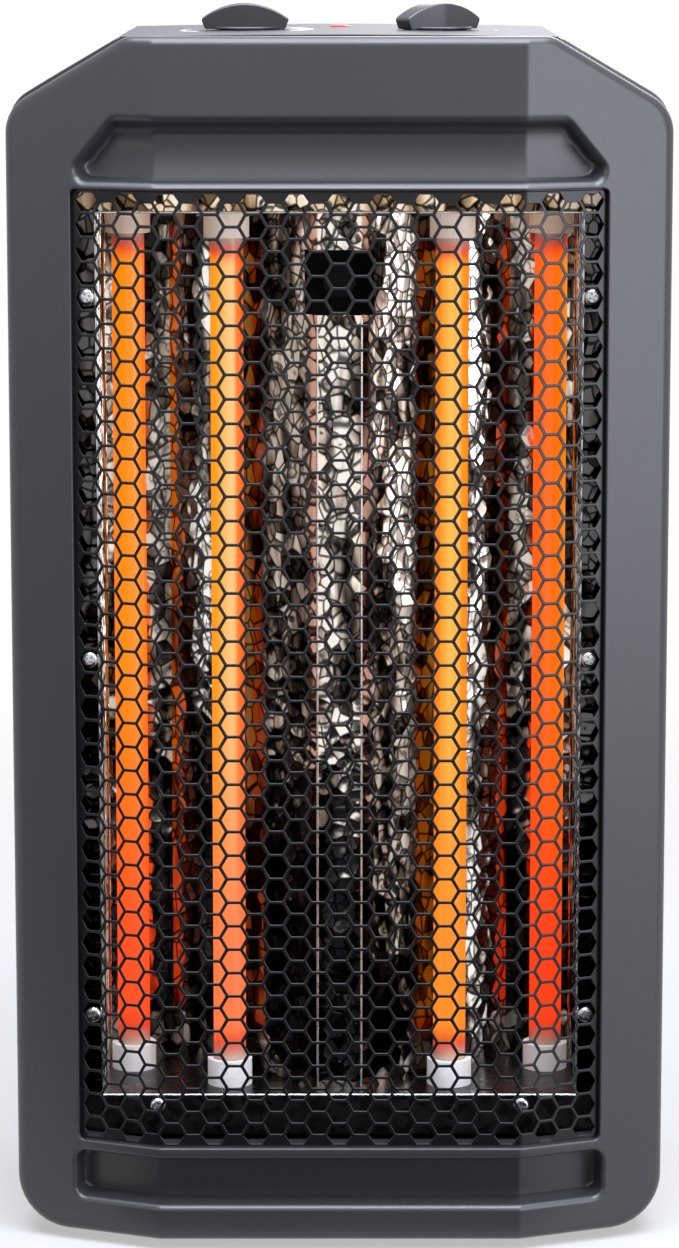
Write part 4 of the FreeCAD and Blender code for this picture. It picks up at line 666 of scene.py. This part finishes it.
def make_bezel():
    """The faceted frame: rounded rim, window with a ledge for the grille, and two soft scoops."""
    skin = Skin()
    rim = [(0.0, depth) for depth in RIM_DEPTHS]
    rim += [(inset, depth) for depth, inset in quarter_round(RIM_RADIUS, 6)]
    front_outline = moved_in(CASE, [0.0, 0.0, SHOULDER_STEP, 0.0, SHOULDER_STEP, 0.0])
    loops = [rounded_loop(moved_in(front_outline, [inset] * 6), [radius - inset for radius in CASE_RADII], 10)
             for inset, _ in rim]
    face = (loops[-1], skin.loft([on_facets(loop, depth) for loop, (_, depth) in zip(loops, rim)])[-1])
    edge = quarter_round(WINDOW_EDGE_RADIUS, 4)
    edge += [(0.0, LEDGE_DEPTH), (-LEDGE_WIDTH, LEDGE_DEPTH), (-LEDGE_WIDTH, LEDGE_BACK)]
    loops = [rounded_loop(moved_in(WINDOW, [-out] * 4), [WINDOW_RADIUS + max(out, 0.0)] * 4, 4)
             for out, _ in edge]
    window = (loops[0], skin.loft([on_facets(loop, depth) for loop, (_, depth) in zip(loops, edge)])[0])
    holes = [window]
    upper = scoop_loops(UPPER_SCOOP, UPPER_SIDES, ["low", "cheek", "slant", "high", "slant", "cheek"])
    lower = scoop_loops(LOWER_SCOOP, LOWER_SIDES, ["low", "cheek", "high", "cheek"])
    upper_rings = [[(x, y + scoop_depth(depth, z), z) for x, y, z in on_facets(loop, 0.0)]
                   for loop, depth in zip(upper, RING_DEPTHS)]
    lower_rings = [on_facets(loop, depth) for loop, depth in zip(lower, RING_DEPTHS)]
    spots = [Vector((x, UPPER_LOW + rise)) for rise in FLOOR_RISES
             for x in sorted(CREASE_STATIONS + [FLOOR_STEP * k for k in range(-5, 6)])]
    spots = [spot for spot in spots if within(spot, upper[-1])]
    curved = skin.ring([(x, y + scoop_depth(FLOOR_DEPTH, z), z) for x, y, z in on_facets(spots, 0.0)])
    for loops, rings, inner in ((upper, upper_rings, (spots, curved)), (lower, lower_rings, ())):
        placed = skin.loft(rings)
        holes.append((loops[0], placed[0]))
        fill_face(skin, (loops[-1], placed[-1]), [], inner)
    fill_face(skin, face, holes)
    sheet = skin.mesh("bezel_skin", open_facing=(0, -1, 0))
    thick = modified(sheet, "SOLIDIFY", thickness=BEZEL_WALL * MM, offset=-1.0, use_even_offset=True)
    return softly_shaded(thick, 50)


new_piece("bezel", make_bezel(), bezel_abs, replaces=["front_bezel"])


# Grille

ROWS, COLUMNS = 40, 13
ROW_PITCH = 11.65
# The columns stand a little wider apart than in a regular honeycomb
COLUMN_SHARE = 1.011
COLUMN_PITCH = ROW_PITCH * math.sqrt(3) / 2 * COLUMN_SHARE
HOLE_WIDTH = 10.15
END_BORDER = 0.9
SHEET_THICKNESS = 0.8
ENAMEL_EDGE = 0.36
# Length along a wing for each millimetre of its width, and half the length of the sheet before it is folded
WING_STRETCH = math.hypot(1.0, WING_SLOPE)
FLAT_HALF = CREASE + (grille_high.x - CREASE) * WING_STRETCH


def new_tree(name, made, kinds):
    """A geometry node tree with what it makes, its named inputs and their sockets."""
    tree = bpy.data.node_groups.new(name, "GeometryNodeTree")
    tree.interface.new_socket(made, in_out="OUTPUT", socket_type="NodeSocketGeometry")
    for socket, kind in kinds.items():
        tree.interface.new_socket(socket, in_out="INPUT", socket_type=f"NodeSocket{kind}")
    return tree, add(tree, "NodeGroupInput").outputs


def end_tree(tree, geometry, finish, made):
    """Ends a geometry node tree: real geometry in its finish."""
    whole = add(tree, "GeometryNodeRealizeInstances", {"Geometry": geometry})
    painted = add(tree, "GeometryNodeSetMaterial", {"Geometry": whole.outputs[0], "Material": finish})
    add(tree, "NodeGroupOutput", {made: painted.outputs[0]})


def punched_sheet_tree():
    """Geometry nodes: two staggered grids of hexagons punched out of a sheet, cut off at its end borders."""
    tree, given = new_tree("punched_sheet", "Sheet", {
        "Row Pitch": "Float", "Column Pitch": "Float", "Hole Width": "Float", "Sheet Length": "Float",
        "Sheet Height": "Float", "End Border": "Float", "Thickness": "Float", "Columns": "Int", "Rows": "Int",
        "Finish": "Material"})
    corner = add(tree, "ShaderNodeMath", {0: given["Hole Width"], 1: math.sqrt(3)}, operation="DIVIDE")
    hexagon = add(tree, "GeometryNodeCurvePrimitiveCircle", {"Resolution": 6, "Radius": corner.outputs[0]})
    grids = []
    for fewer in (0.0, 1.0):
        columns = add(tree, "ShaderNodeMath", {0: given["Columns"], 1: fewer}, operation="SUBTRACT")
        rows = add(tree, "ShaderNodeMath", {0: given["Rows"], 1: fewer}, operation="SUBTRACT")
        column_steps = add(tree, "ShaderNodeMath", {0: columns.outputs[0], 1: 2.0, 2: -2.0},
                           operation="MULTIPLY_ADD")
        row_steps = add(tree, "ShaderNodeMath", {0: rows.outputs[0], 1: 1.0}, operation="SUBTRACT")
        width = add(tree, "ShaderNodeMath", {0: column_steps.outputs[0], 1: given["Column Pitch"]},
                    operation="MULTIPLY")
        height = add(tree, "ShaderNodeMath", {0: row_steps.outputs[0], 1: given["Row Pitch"]},
                     operation="MULTIPLY")
        grid = add(tree, "GeometryNodeMeshGrid", {"Size X": width.outputs[0], "Size Y": height.outputs[0],
                                                  "Vertices X": columns.outputs[0],
                                                  "Vertices Y": rows.outputs[0]})
        grids.append(grid.outputs["Mesh"])
    spots = add(tree, "GeometryNodeJoinGeometry")
    for grid in grids:
        tree.links.new(grid, spots.inputs[0])
    spread = add(tree, "GeometryNodeInstanceOnPoints", {"Points": spots.outputs[0],
                                                        "Instance": hexagon.outputs["Curve"]})
    holes = add(tree, "GeometryNodeRealizeInstances", {"Geometry": spread.outputs[0]})
    place = add(tree, "ShaderNodeSeparateXYZ", {"Vector": add(tree, "GeometryNodeInputPosition").outputs[0]})
    half_height = add(tree, "ShaderNodeMath", {0: given["Sheet Height"], 1: 2.0}, operation="DIVIDE")
    limit = add(tree, "ShaderNodeMath", {0: half_height.outputs[0], 1: given["End Border"]},
                operation="SUBTRACT")
    lower_limit = add(tree, "ShaderNodeMath", {0: limit.outputs[0], 1: -1.0}, operation="MULTIPLY")
    kept = add(tree, "ShaderNodeClamp", {"Value": place.outputs["Y"], "Min": lower_limit.outputs[0],
                                         "Max": limit.outputs[0]})
    trimmed = add(tree, "ShaderNodeCombineXYZ", {"X": place.outputs["X"], "Y": kept.outputs[0]})
    cut_off = add(tree, "GeometryNodeSetPosition", {"Geometry": holes.outputs[0],
                                                    "Position": trimmed.outputs[0]})
    blank = add(tree, "GeometryNodeCurvePrimitiveQuadrilateral", {"Width": given["Sheet Length"],
                                                                  "Height": given["Sheet Height"]})
    lines = add(tree, "GeometryNodeJoinGeometry")
    tree.links.new(blank.outputs[0], lines.inputs[0])
    tree.links.new(cut_off.outputs[0], lines.inputs[0])
    face = add(tree, "GeometryNodeFillCurve", {"Curve": lines.outputs[0]}, mode="TRIANGLES")
    raised = add(tree, "GeometryNodeExtrudeMesh", {"Mesh": face.outputs[0], "Individual": False,
                                                   "Offset Scale": given["Thickness"]}, mode="FACES")
    under = add(tree, "GeometryNodeFlipFaces", {"Mesh": face.outputs[0]})
    both = add(tree, "GeometryNodeJoinGeometry")
    tree.links.new(raised.outputs["Mesh"], both.inputs[0])
    tree.links.new(under.outputs[0], both.inputs[0])
    merged = add(tree, "GeometryNodeMergeByDistance", {"Geometry": both.outputs[0], "Distance": 0.01 * MM})
    end_tree(tree, merged.outputs[0], given["Finish"], "Sheet")
    return tree


def run_tree(tree, mesh, values):
    """The plain mesh that a geometry node tree makes, with its named inputs set."""
    made = new_object("work", mesh)
    modifier = made.modifiers.new("nodes", "NODES")
    modifier.node_group = tree
    for socket in tree.interface.items_tree:
        if socket.in_out == "INPUT" and socket.name in values:
            modifier[socket.identifier] = values[socket.name]
    return plain_mesh(made)


def make_grille():
    """The punched sheet, with its edges slightly rounded by the enamel, folded back at the two creases."""
    flat = run_tree(punched_sheet_tree(), bpy.data.meshes.new("blank"), {
        "Row Pitch": ROW_PITCH * MM, "Column Pitch": COLUMN_PITCH * MM, "Hole Width": HOLE_WIDTH * MM,
        "Sheet Length": 2 * FLAT_HALF * MM, "Sheet Height": (grille_high.z - grille_low.z) * MM,
        "End Border": END_BORDER * MM, "Thickness": SHEET_THICKNESS * MM, "Columns": COLUMNS, "Rows": ROWS,
        "Finish": enamel})
    flat = modified(flat, "BEVEL", width=ENAMEL_EDGE * MM, segments=2, limit_method="ANGLE",
                    angle_limit=math.radians(50))
    shape = bmesh.new()
    shape.from_mesh(flat)
    for station in CREASE_STATIONS:
        bmesh.ops.bisect_plane(shape, geom=shape.verts[:] + shape.edges[:] + shape.faces[:], dist=1e-7,
                               plane_co=(station * MM, 0, 0), plane_no=(1, 0, 0))
    thickness = max(vertex.co.z for vertex in shape.verts) / MM
    middle = (grille_low.z + grille_high.z) / 2
    for vertex in shape.verts:
        along, up, rise = vertex.co / MM
        past = max(0.0, abs(along) - CREASE)
        x = math.copysign(abs(along) - past + past / WING_STRETCH, along)
        vertex.co = Vector((x, grille_low.y + facet(x) + thickness - rise, middle + up)) * MM
    bmesh.ops.recalc_face_normals(shape, faces=shape.faces)
    shape.to_mesh(flat)
    shape.free()
    return softly_shaded(flat, 60)


new_piece("punched_grille", make_grille(), enamel, replaces=["grille"])


# Screws along the mirror's flanges

SHANK_RADIUS, SHANK_LENGTH = 1.6, 8.0
# Radius and height round the head, from its seat to its crown
HEAD_PROFILE = [(4.0, 0.0), (4.0, 0.9), (3.8, 1.5), (3.3, 1.95), (2.7, 2.2)]
HEAD_SIDES = 24
# Half length and half width of the recess's arms, the share that they taper to, and the height of its floor
ARM_HALF, ARM_WIDTH_HALF = 2.1, 0.45
RECESS_SHARE, RECESS_FLOOR = 0.55, 0.9


def make_pan_head():
    """A cross-recessed pan-head screw with its seat at the origin and its head towards +Z."""
    skin = Skin()
    profile = [(SHANK_RADIUS, -SHANK_LENGTH), (SHANK_RADIUS, 0.0)] + HEAD_PROFILE
    placed = skin.loft([circle(radius, height, HEAD_SIDES) for radius, height in profile])
    skin.faces.append(tuple(reversed(placed[0])))
    one_arm = [(ARM_HALF, -ARM_WIDTH_HALF), (ARM_HALF, ARM_WIDTH_HALF), (ARM_WIDTH_HALF, ARM_WIDTH_HALF)]
    cross = []
    for _ in range(4):
        cross += one_arm
        one_arm = [(-y, x) for x, y in one_arm]
    crown_radius, crown = HEAD_PROFILE[-1]
    mouth = skin.ring([(x, y, crown) for x, y in cross])
    floor = skin.ring([(x * RECESS_SHARE, y * RECESS_SHARE, RECESS_FLOOR) for x, y in cross])
    skin.bridge(mouth, floor)
    skin.faces.append(tuple(floor))
    rim = [Vector((x, y)) for x, y, _ in circle(crown_radius, crown, HEAD_SIDES)]
    fill_face(skin, (rim, placed[-1]), [([Vector(point) for point in cross], mouth)])
    return softly_shaded(skin.mesh("pan_head"), 35)


def screw_tree():
    """Geometry nodes: one screw at each point, its head forward, each stopped at its own turn."""
    tree, given = new_tree("screws_at_points", "Screws", {
        "Points": "Geometry", "Screw": "Object", "Largest Turn": "Float", "Seed": "Int",
        "Finish": "Material"})
    model = add(tree, "GeometryNodeObjectInfo", {"Object": given["Screw"]})
    turn = add(tree, "FunctionNodeRandomValue", {3: given["Largest Turn"], 8: given["Seed"]},
               data_type="FLOAT")
    facing = add(tree, "ShaderNodeCombineXYZ", {"X": math.pi / 2, "Y": turn.outputs[1]})
    spread = add(tree, "GeometryNodeInstanceOnPoints", {"Points": given["Points"],
                                                        "Instance": model.outputs["Geometry"],
                                                        "Rotation": facing.outputs[0]})
    end_tree(tree, spread.outputs[0], given["Finish"], "Screws")
    return tree


# Three screws up each side flange, and one near each end of the lower flange
SIDE_SCREW_X, SIDE_SCREW_HEIGHTS = 121.0, (112.0, 289.0, 465.0)
LOWER_SCREW_X, LOWER_SCREW_HEIGHT = 89.5, 65.8


def make_flange_screws():
    """The screws that hold the mirror and the lower end plate by their flanges."""
    spots = [(side * SIDE_SCREW_X, mirror_low.y, height) for height in SIDE_SCREW_HEIGHTS for side in (-1, 1)]
    spots += [(side * LOWER_SCREW_X, mirror_low.y, LOWER_SCREW_HEIGHT) for side in (-1, 1)]
    points = bpy.data.meshes.new("screw_spots")
    points.from_pydata([Vector(spot) * MM for spot in spots], [], [])
    model = new_object("one_screw", make_pan_head())
    mesh = run_tree(screw_tree(), points, {"Screw": model, "Largest Turn": math.tau, "Seed": 4,
                                           "Finish": zinc_screw})
    bpy.data.objects.remove(model)
    return mesh


new_piece("flange_screws", make_flange_screws(), zinc_screw,
          replaces=["reflector_screws"])


# Bright folds of the mirror, seen as thin lines round the tubes and along the centre ridge

FOLD_HALF = 116.6
FOLD_OVERLAP = 0.4
# How far in and how far forward of the flange the frame's section lies
FOLD_SECTION = [(-0.5, 0.0), (-0.5, 0.5), (-0.2, 0.8), (0.3, 0.8), (0.6, 0.5), (0.6, 0.0)]
RIDGE_HALF, RIDGE_SETBACK = 10.5, 11.0
# How far out from the ridge's edge and how far behind its face a fold's section lies
RIDGE_FOLD_SECTION = [(-0.3, -0.1), (0.0, -0.4), (0.5, -0.3), (0.9, 0.3), (0.7, 0.8), (-0.3, 0.4)]
RIDGE_FOOT_GAP, BRACKET_LAP = 0.6, 5.0


def make_fold_line():
    """A thin rounded frame where the mirror and the end plates fold out to their flanges."""
    skin = Skin()
    low = box("lower_end_plate")[1].z - FOLD_OVERLAP
    high = box("upper_end_plate")[0].z + FOLD_OVERLAP
    corners = mirrored([(FOLD_HALF, low), (FOLD_HALF, high)])
    rings = []
    for inset, forward in FOLD_SECTION:
        inner = moved_in(corners, [inset] * 4)
        rings.append([(point.x, mirror_low.y - forward, point.y) for point in inner])
    placed = skin.loft(rings)
    skin.bridge(placed[-1], placed[0])
    return softly_shaded(skin.mesh("fold_line"), 40)


def make_ridge_folds():
    """Two thin bright lines up the edges of the mirror's centre ridge, as far as the cut-out's bracket."""
    skin = Skin()
    heights = (mirror_low.z + RIDGE_FOOT_GAP, box("cutout_bracket")[0].z + BRACKET_LAP)
    face = mirror_low.y + RIDGE_SETBACK
    for side in (-1, 1):
        skin.loft([[(side * (RIDGE_HALF + out), face + behind, z) for out, behind in RIDGE_FOLD_SECTION]
                   for z in heights], capped=True)
    return softly_shaded(skin.mesh("ridge_folds"), 60)


new_piece("chamber_fold", make_fold_line(), zinc_screw)
new_piece("ridge_folds", make_ridge_folds(), zinc_screw)


# Knobs

thermostat_low, thermostat_high = box("thermostat_knob")
selector_low, selector_high = box("selector_knob")
THERMOSTAT_X = (thermostat_low.x + thermostat_high.x) / 2
SELECTOR_X = (selector_low.x + selector_high.x) / 2
SELECTOR_TURN = 31.6
KNOB_HALF = (thermostat_high.x - thermostat_low.x) / 2
# The knobs sit this much lower than the solids, close on the crowned panel
KNOB_SINK = 0.3
GRIP_RISE, GRIP_END_HEIGHT = 7.6, 4.8
GRIP_HALF, GRIP_TAPER, GRIP_EDGE_RADIUS, GRIP_UNDERCUT = 7.0, 1.2, 1.1, 2.0
# Steps in from each end of the grip, and how much smaller its section is there; its foot rises by a share
END_ROUNDING = [(0.0, 1.0), (0.25, 0.45), (0.7, 0.12), (1.2, 0.0)]
FOOT_SHARE = 0.6
SKIRT_PROFILE = [(16.6, 0.0), (17.0, 0.25), (17.0, 0.8), (16.6, 1.2)]


def grip_section(x, inset):
    """Cross-section of the arched grip at a distance from its middle, made smaller all round by the inset."""
    arch = (KNOB_HALF ** 2 + GRIP_RISE ** 2) / (2 * GRIP_RISE)
    half = GRIP_HALF - GRIP_TAPER * abs(x) / KNOB_HALF - inset
    high = GRIP_END_HEIGHT + GRIP_RISE - (arch - math.sqrt(arch ** 2 - x ** 2)) - inset
    low = FOOT_SHARE * inset
    edge = quarter_round(GRIP_EDGE_RADIUS, 4)
    outline = [(-half, low), (half, low)]
    outline += [(half - across, high - down) for down, across in edge]
    outline += [(across - half, high - down) for across, down in edge]
    undercut = [GRIP_UNDERCUT / KNOB_HALF * max(0.0, 1 - z / GRIP_END_HEIGHT) for _, z in outline]
    return [(x * (1 - share), y, z) for (y, z), share in zip(outline, undercut)]


def make_knob(x, turn_deg):
    """Arched finger grip, thickest at its middle, with soft edges and undercut ends, on a round skirt."""
    skin = Skin()
    left = [(-KNOB_HALF + step, inset) for step, inset in END_ROUNDING]
    between = [(KNOB_HALF * k / 12, 0.0) for k in range(-11, 12)]
    right = [(-place, inset) for place, inset in reversed(left)]
    skin.loft([grip_section(place, inset) for place, inset in left + between + right], capped=True)
    skin.loft([circle(radius, height, 64) for radius, height in SKIRT_PROFILE], capped=True)
    mesh = skin.mesh("knob")
    mesh.transform(Matrix.Translation(Vector((x, 0.0, thermostat_low.z - KNOB_SINK)) * MM)
                   @ Matrix.Rotation(math.radians(turn_deg), 4, "Z"))
    return softly_shaded(mesh, 40)


new_piece("thermostat_grip", make_knob(THERMOSTAT_X, 0.0), knob_abs, body="thermostat_dial",
          replaces=["thermostat_knob"])
new_piece("selector_grip", make_knob(SELECTOR_X, SELECTOR_TURN), knob_abs, body="selector_dial",
          replaces=["selector_knob"])


# Printed marks on the control panel

PANEL_CROWN = 1.25
INK_THICKNESS = 0.06
THERMOSTAT_MARK_RADIUS, SELECTOR_MARK_RADIUS = 31.0, 29.0


def panel_height(x):
    """Height of the crowned panel at that distance from the middle."""
    return panel_high.z - PANEL_CROWN * (x / panel_high.x) ** 2


def make_arc_mark(knob_x, radius, start_deg, end_deg, width_start, width_end, steps=40):
    """A printed arc round a knob that grows from one width to another."""
    skin = Skin()
    rows = []
    for k in range(steps + 1):
        share = k / steps
        turn = math.radians(start_deg + (end_deg - start_deg) * share)
        half = (width_start + (width_end - width_start) * share) / 2
        row = []
        for across, lift in ((-half, 0.0), (-half, INK_THICKNESS), (half, INK_THICKNESS), (half, 0.0)):
            x = knob_x + (radius + across) * math.cos(turn)
            y = (radius + across) * math.sin(turn)
            row.append((x, y, panel_height(x) + lift))
        rows.append(row)
    skin.loft(rows, capped=True)
    return skin.mesh("arc_mark")


low_mark = make_arc_mark(THERMOSTAT_X, THERMOSTAT_MARK_RADIUS, 150.0, 222.0, 1.0, 2.2)
high_mark = make_arc_mark(THERMOSTAT_X, THERMOSTAT_MARK_RADIUS, -42.0, 45.0, 3.0, 6.5)
selector_arc = make_arc_mark(SELECTOR_X, SELECTOR_MARK_RADIUS, -24.0, 24.0, 1.2, 1.2)
new_piece("thermostat_low_mark", low_mark, white_ink)
new_piece("thermostat_high_mark", high_mark, white_ink)
new_piece("selector_mark", selector_arc, grey_ink)


# Studio: pale floor, dark flag seen only in the mirror, soft boxes, world and camera

# Metres and degrees from here on
FLOOR_HALF = 70.0
FLAG_OUTLINE = [(-7.0, -6.0), (-4.8, -6.0), (-1.0, -1.25), (0.7, -1.25), (0.15, -0.12), (-0.14, -0.12),
                (-1.7, -1.25)]
FLAG_HEIGHT = 0.001
# Distances from the object between which the floor's shadow fades, the share of white to the eye at each, and
# the share of white in the mirror
SHADOW_NEAR, SHADOW_FAR = 0.4, 1.6
NEAR_SHARE, FAR_SHARE, MIRRORED_SHARE = 0.46, 1.0, 0.95
CAMERA_PLACE, CAMERA_TILT, CAMERA_LENS = (0.0, -2.1163, 0.6531), 9.6, 123.9


def make_plane(name, corners, height, material):
    """A flat piece of the studio."""
    mesh = bpy.data.meshes.new(name)
    mesh.from_pydata([(x, y, height) for x, y in corners], [], [tuple(range(len(corners)))])
    mesh.materials.append(material)
    made = new_object(name, mesh)
    return made


def pale_floor():
    """Matt white paper: white to the eye and to the mirror, with the object's shadow left in it."""
    material, tree, shader, where = new_material("matt_white_paper", roughness=0.9, specular_ior_level=0.0,
                                                 base_color=linear("#BCBCBC"))
    white = add(tree, "ShaderNodeEmission", {"Color": (1.0, 1.0, 1.0, 1.0), "Strength": 1.0})
    ray = add(tree, "ShaderNodeLightPath")
    passed_on = add(tree, "ShaderNodeMath", {0: ray.outputs["Is Glossy Ray"],
                                             1: ray.outputs["Is Transmission Ray"]}, operation="MAXIMUM")
    in_mirror = add(tree, "ShaderNodeMath", {0: passed_on.outputs[0], 1: MIRRORED_SHARE},
                    operation="MULTIPLY")
    # The shadow near the object stays, and the far floor runs out to white
    away = add(tree, "ShaderNodeVectorMath", {0: where}, operation="LENGTH")
    to_eye = add(tree, "ShaderNodeMapRange", {"Value": away.outputs["Value"], "From Min": SHADOW_NEAR,
                                              "From Max": SHADOW_FAR, "To Min": NEAR_SHARE,
                                              "To Max": FAR_SHARE}, interpolation_type="SMOOTHSTEP")
    share = add(tree, "ShaderNodeMath", {0: ray.outputs["Is Camera Ray"], 1: to_eye.outputs[0],
                                         2: in_mirror.outputs[0]}, operation="MULTIPLY_ADD")
    both = add(tree, "ShaderNodeMixShader", {0: share.outputs[0], 1: shader.outputs[0], 2: white.outputs[0]})
    tree.links.new(both.outputs[0], tree.nodes["Material Output"].inputs["Surface"])
    return material


def dark_card():
    """Black felt: a dull dark patch for the shiny pieces to reflect."""
    return new_material("black_felt", roughness=1.0, specular_ior_level=0.0, base_color=linear("#0C0C0E"))[0]


make_plane("floor", mirrored([(FLOOR_HALF, -FLOOR_HALF), (FLOOR_HALF, FLOOR_HALF)]), 0.0, pale_floor())
flag = make_plane("flag", FLAG_OUTLINE, FLAG_HEIGHT, dark_card())
flag.visible_camera = False
flag.visible_diffuse = False
flag.visible_transmission = False
flag.visible_shadow = False


def soft_box(name, place, aim, size, watts, colour="#FFFFFF"):
    """A rectangular lamp that faces a point."""
    data = bpy.data.lights.new(name, "AREA")
    data.shape = "RECTANGLE"
    data.size, data.size_y = size
    data.energy = watts
    data.color = linear(colour)[:3]
    made = new_object(name, data)
    made.location = place
    made.rotation_euler = (Vector(aim) - Vector(place)).to_track_quat("-Z", "Y").to_euler()


soft_box("key", (0.4, -1.15, 2.1), (0, 0, 0.4), (1.8, 1.0), 44.0, "#F2F5FF")
soft_box("right_wall", (1.35, -1.25, 0.65), (0, 0, 0.35), (1.0, 1.4), 20.0, "#EEF2FF")
soft_box("left_wall", (-1.35, -1.25, 0.66), (0, 0, 0.5), (0.9, 0.5), 1.2, "#F4F7FF")
soft_box("overhead", (0.0, -0.3, 2.0), (0, -0.1, 0.3), (2.0, 1.4), 80.0, "#E8EEFF")
soft_box("rear", (0.6, 2.0, 1.4), (0, 0, 0.3), (1.4, 1.2), 16.0)

world = bpy.data.worlds.new("studio")
bpy.context.scene.world = world
world.use_nodes = True
sky = world.node_tree
for node in list(sky.nodes):
    sky.nodes.remove(node)
ray = add(sky, "ShaderNodeLightPath")
seen = add(sky, "ShaderNodeMath", {0: ray.outputs["Is Camera Ray"], 1: ray.outputs["Is Glossy Ray"]},
           operation="MAXIMUM")
shown = add(sky, "ShaderNodeMath", {0: seen.outputs[0], 1: ray.outputs["Is Transmission Ray"]},
            operation="MAXIMUM")
room = add(sky, "ShaderNodeBackground", {"Color": (1.0, 1.0, 1.0, 1.0), "Strength": 0.08})
paper = add(sky, "ShaderNodeBackground", {"Color": (1.0, 1.0, 1.0, 1.0), "Strength": 1.0})
both = add(sky, "ShaderNodeMixShader", {0: shown.outputs[0], 1: room.outputs[0], 2: paper.outputs[0]})
add(sky, "ShaderNodeOutputWorld", {"Surface": both.outputs[0]})

view = bpy.data.cameras.new("photo_view")
view.sensor_fit = "VERTICAL"
view.sensor_height = 36.0
view.lens = CAMERA_LENS
view.clip_end = 100.0
camera = new_object("photo_view", view)
camera.location = CAMERA_PLACE
camera.rotation_euler = (math.radians(90.0 - CAMERA_TILT), 0.0, 0.0)
bpy.context.scene.camera = camera
bpy.context.scene.view_settings.view_transform = "Standard"
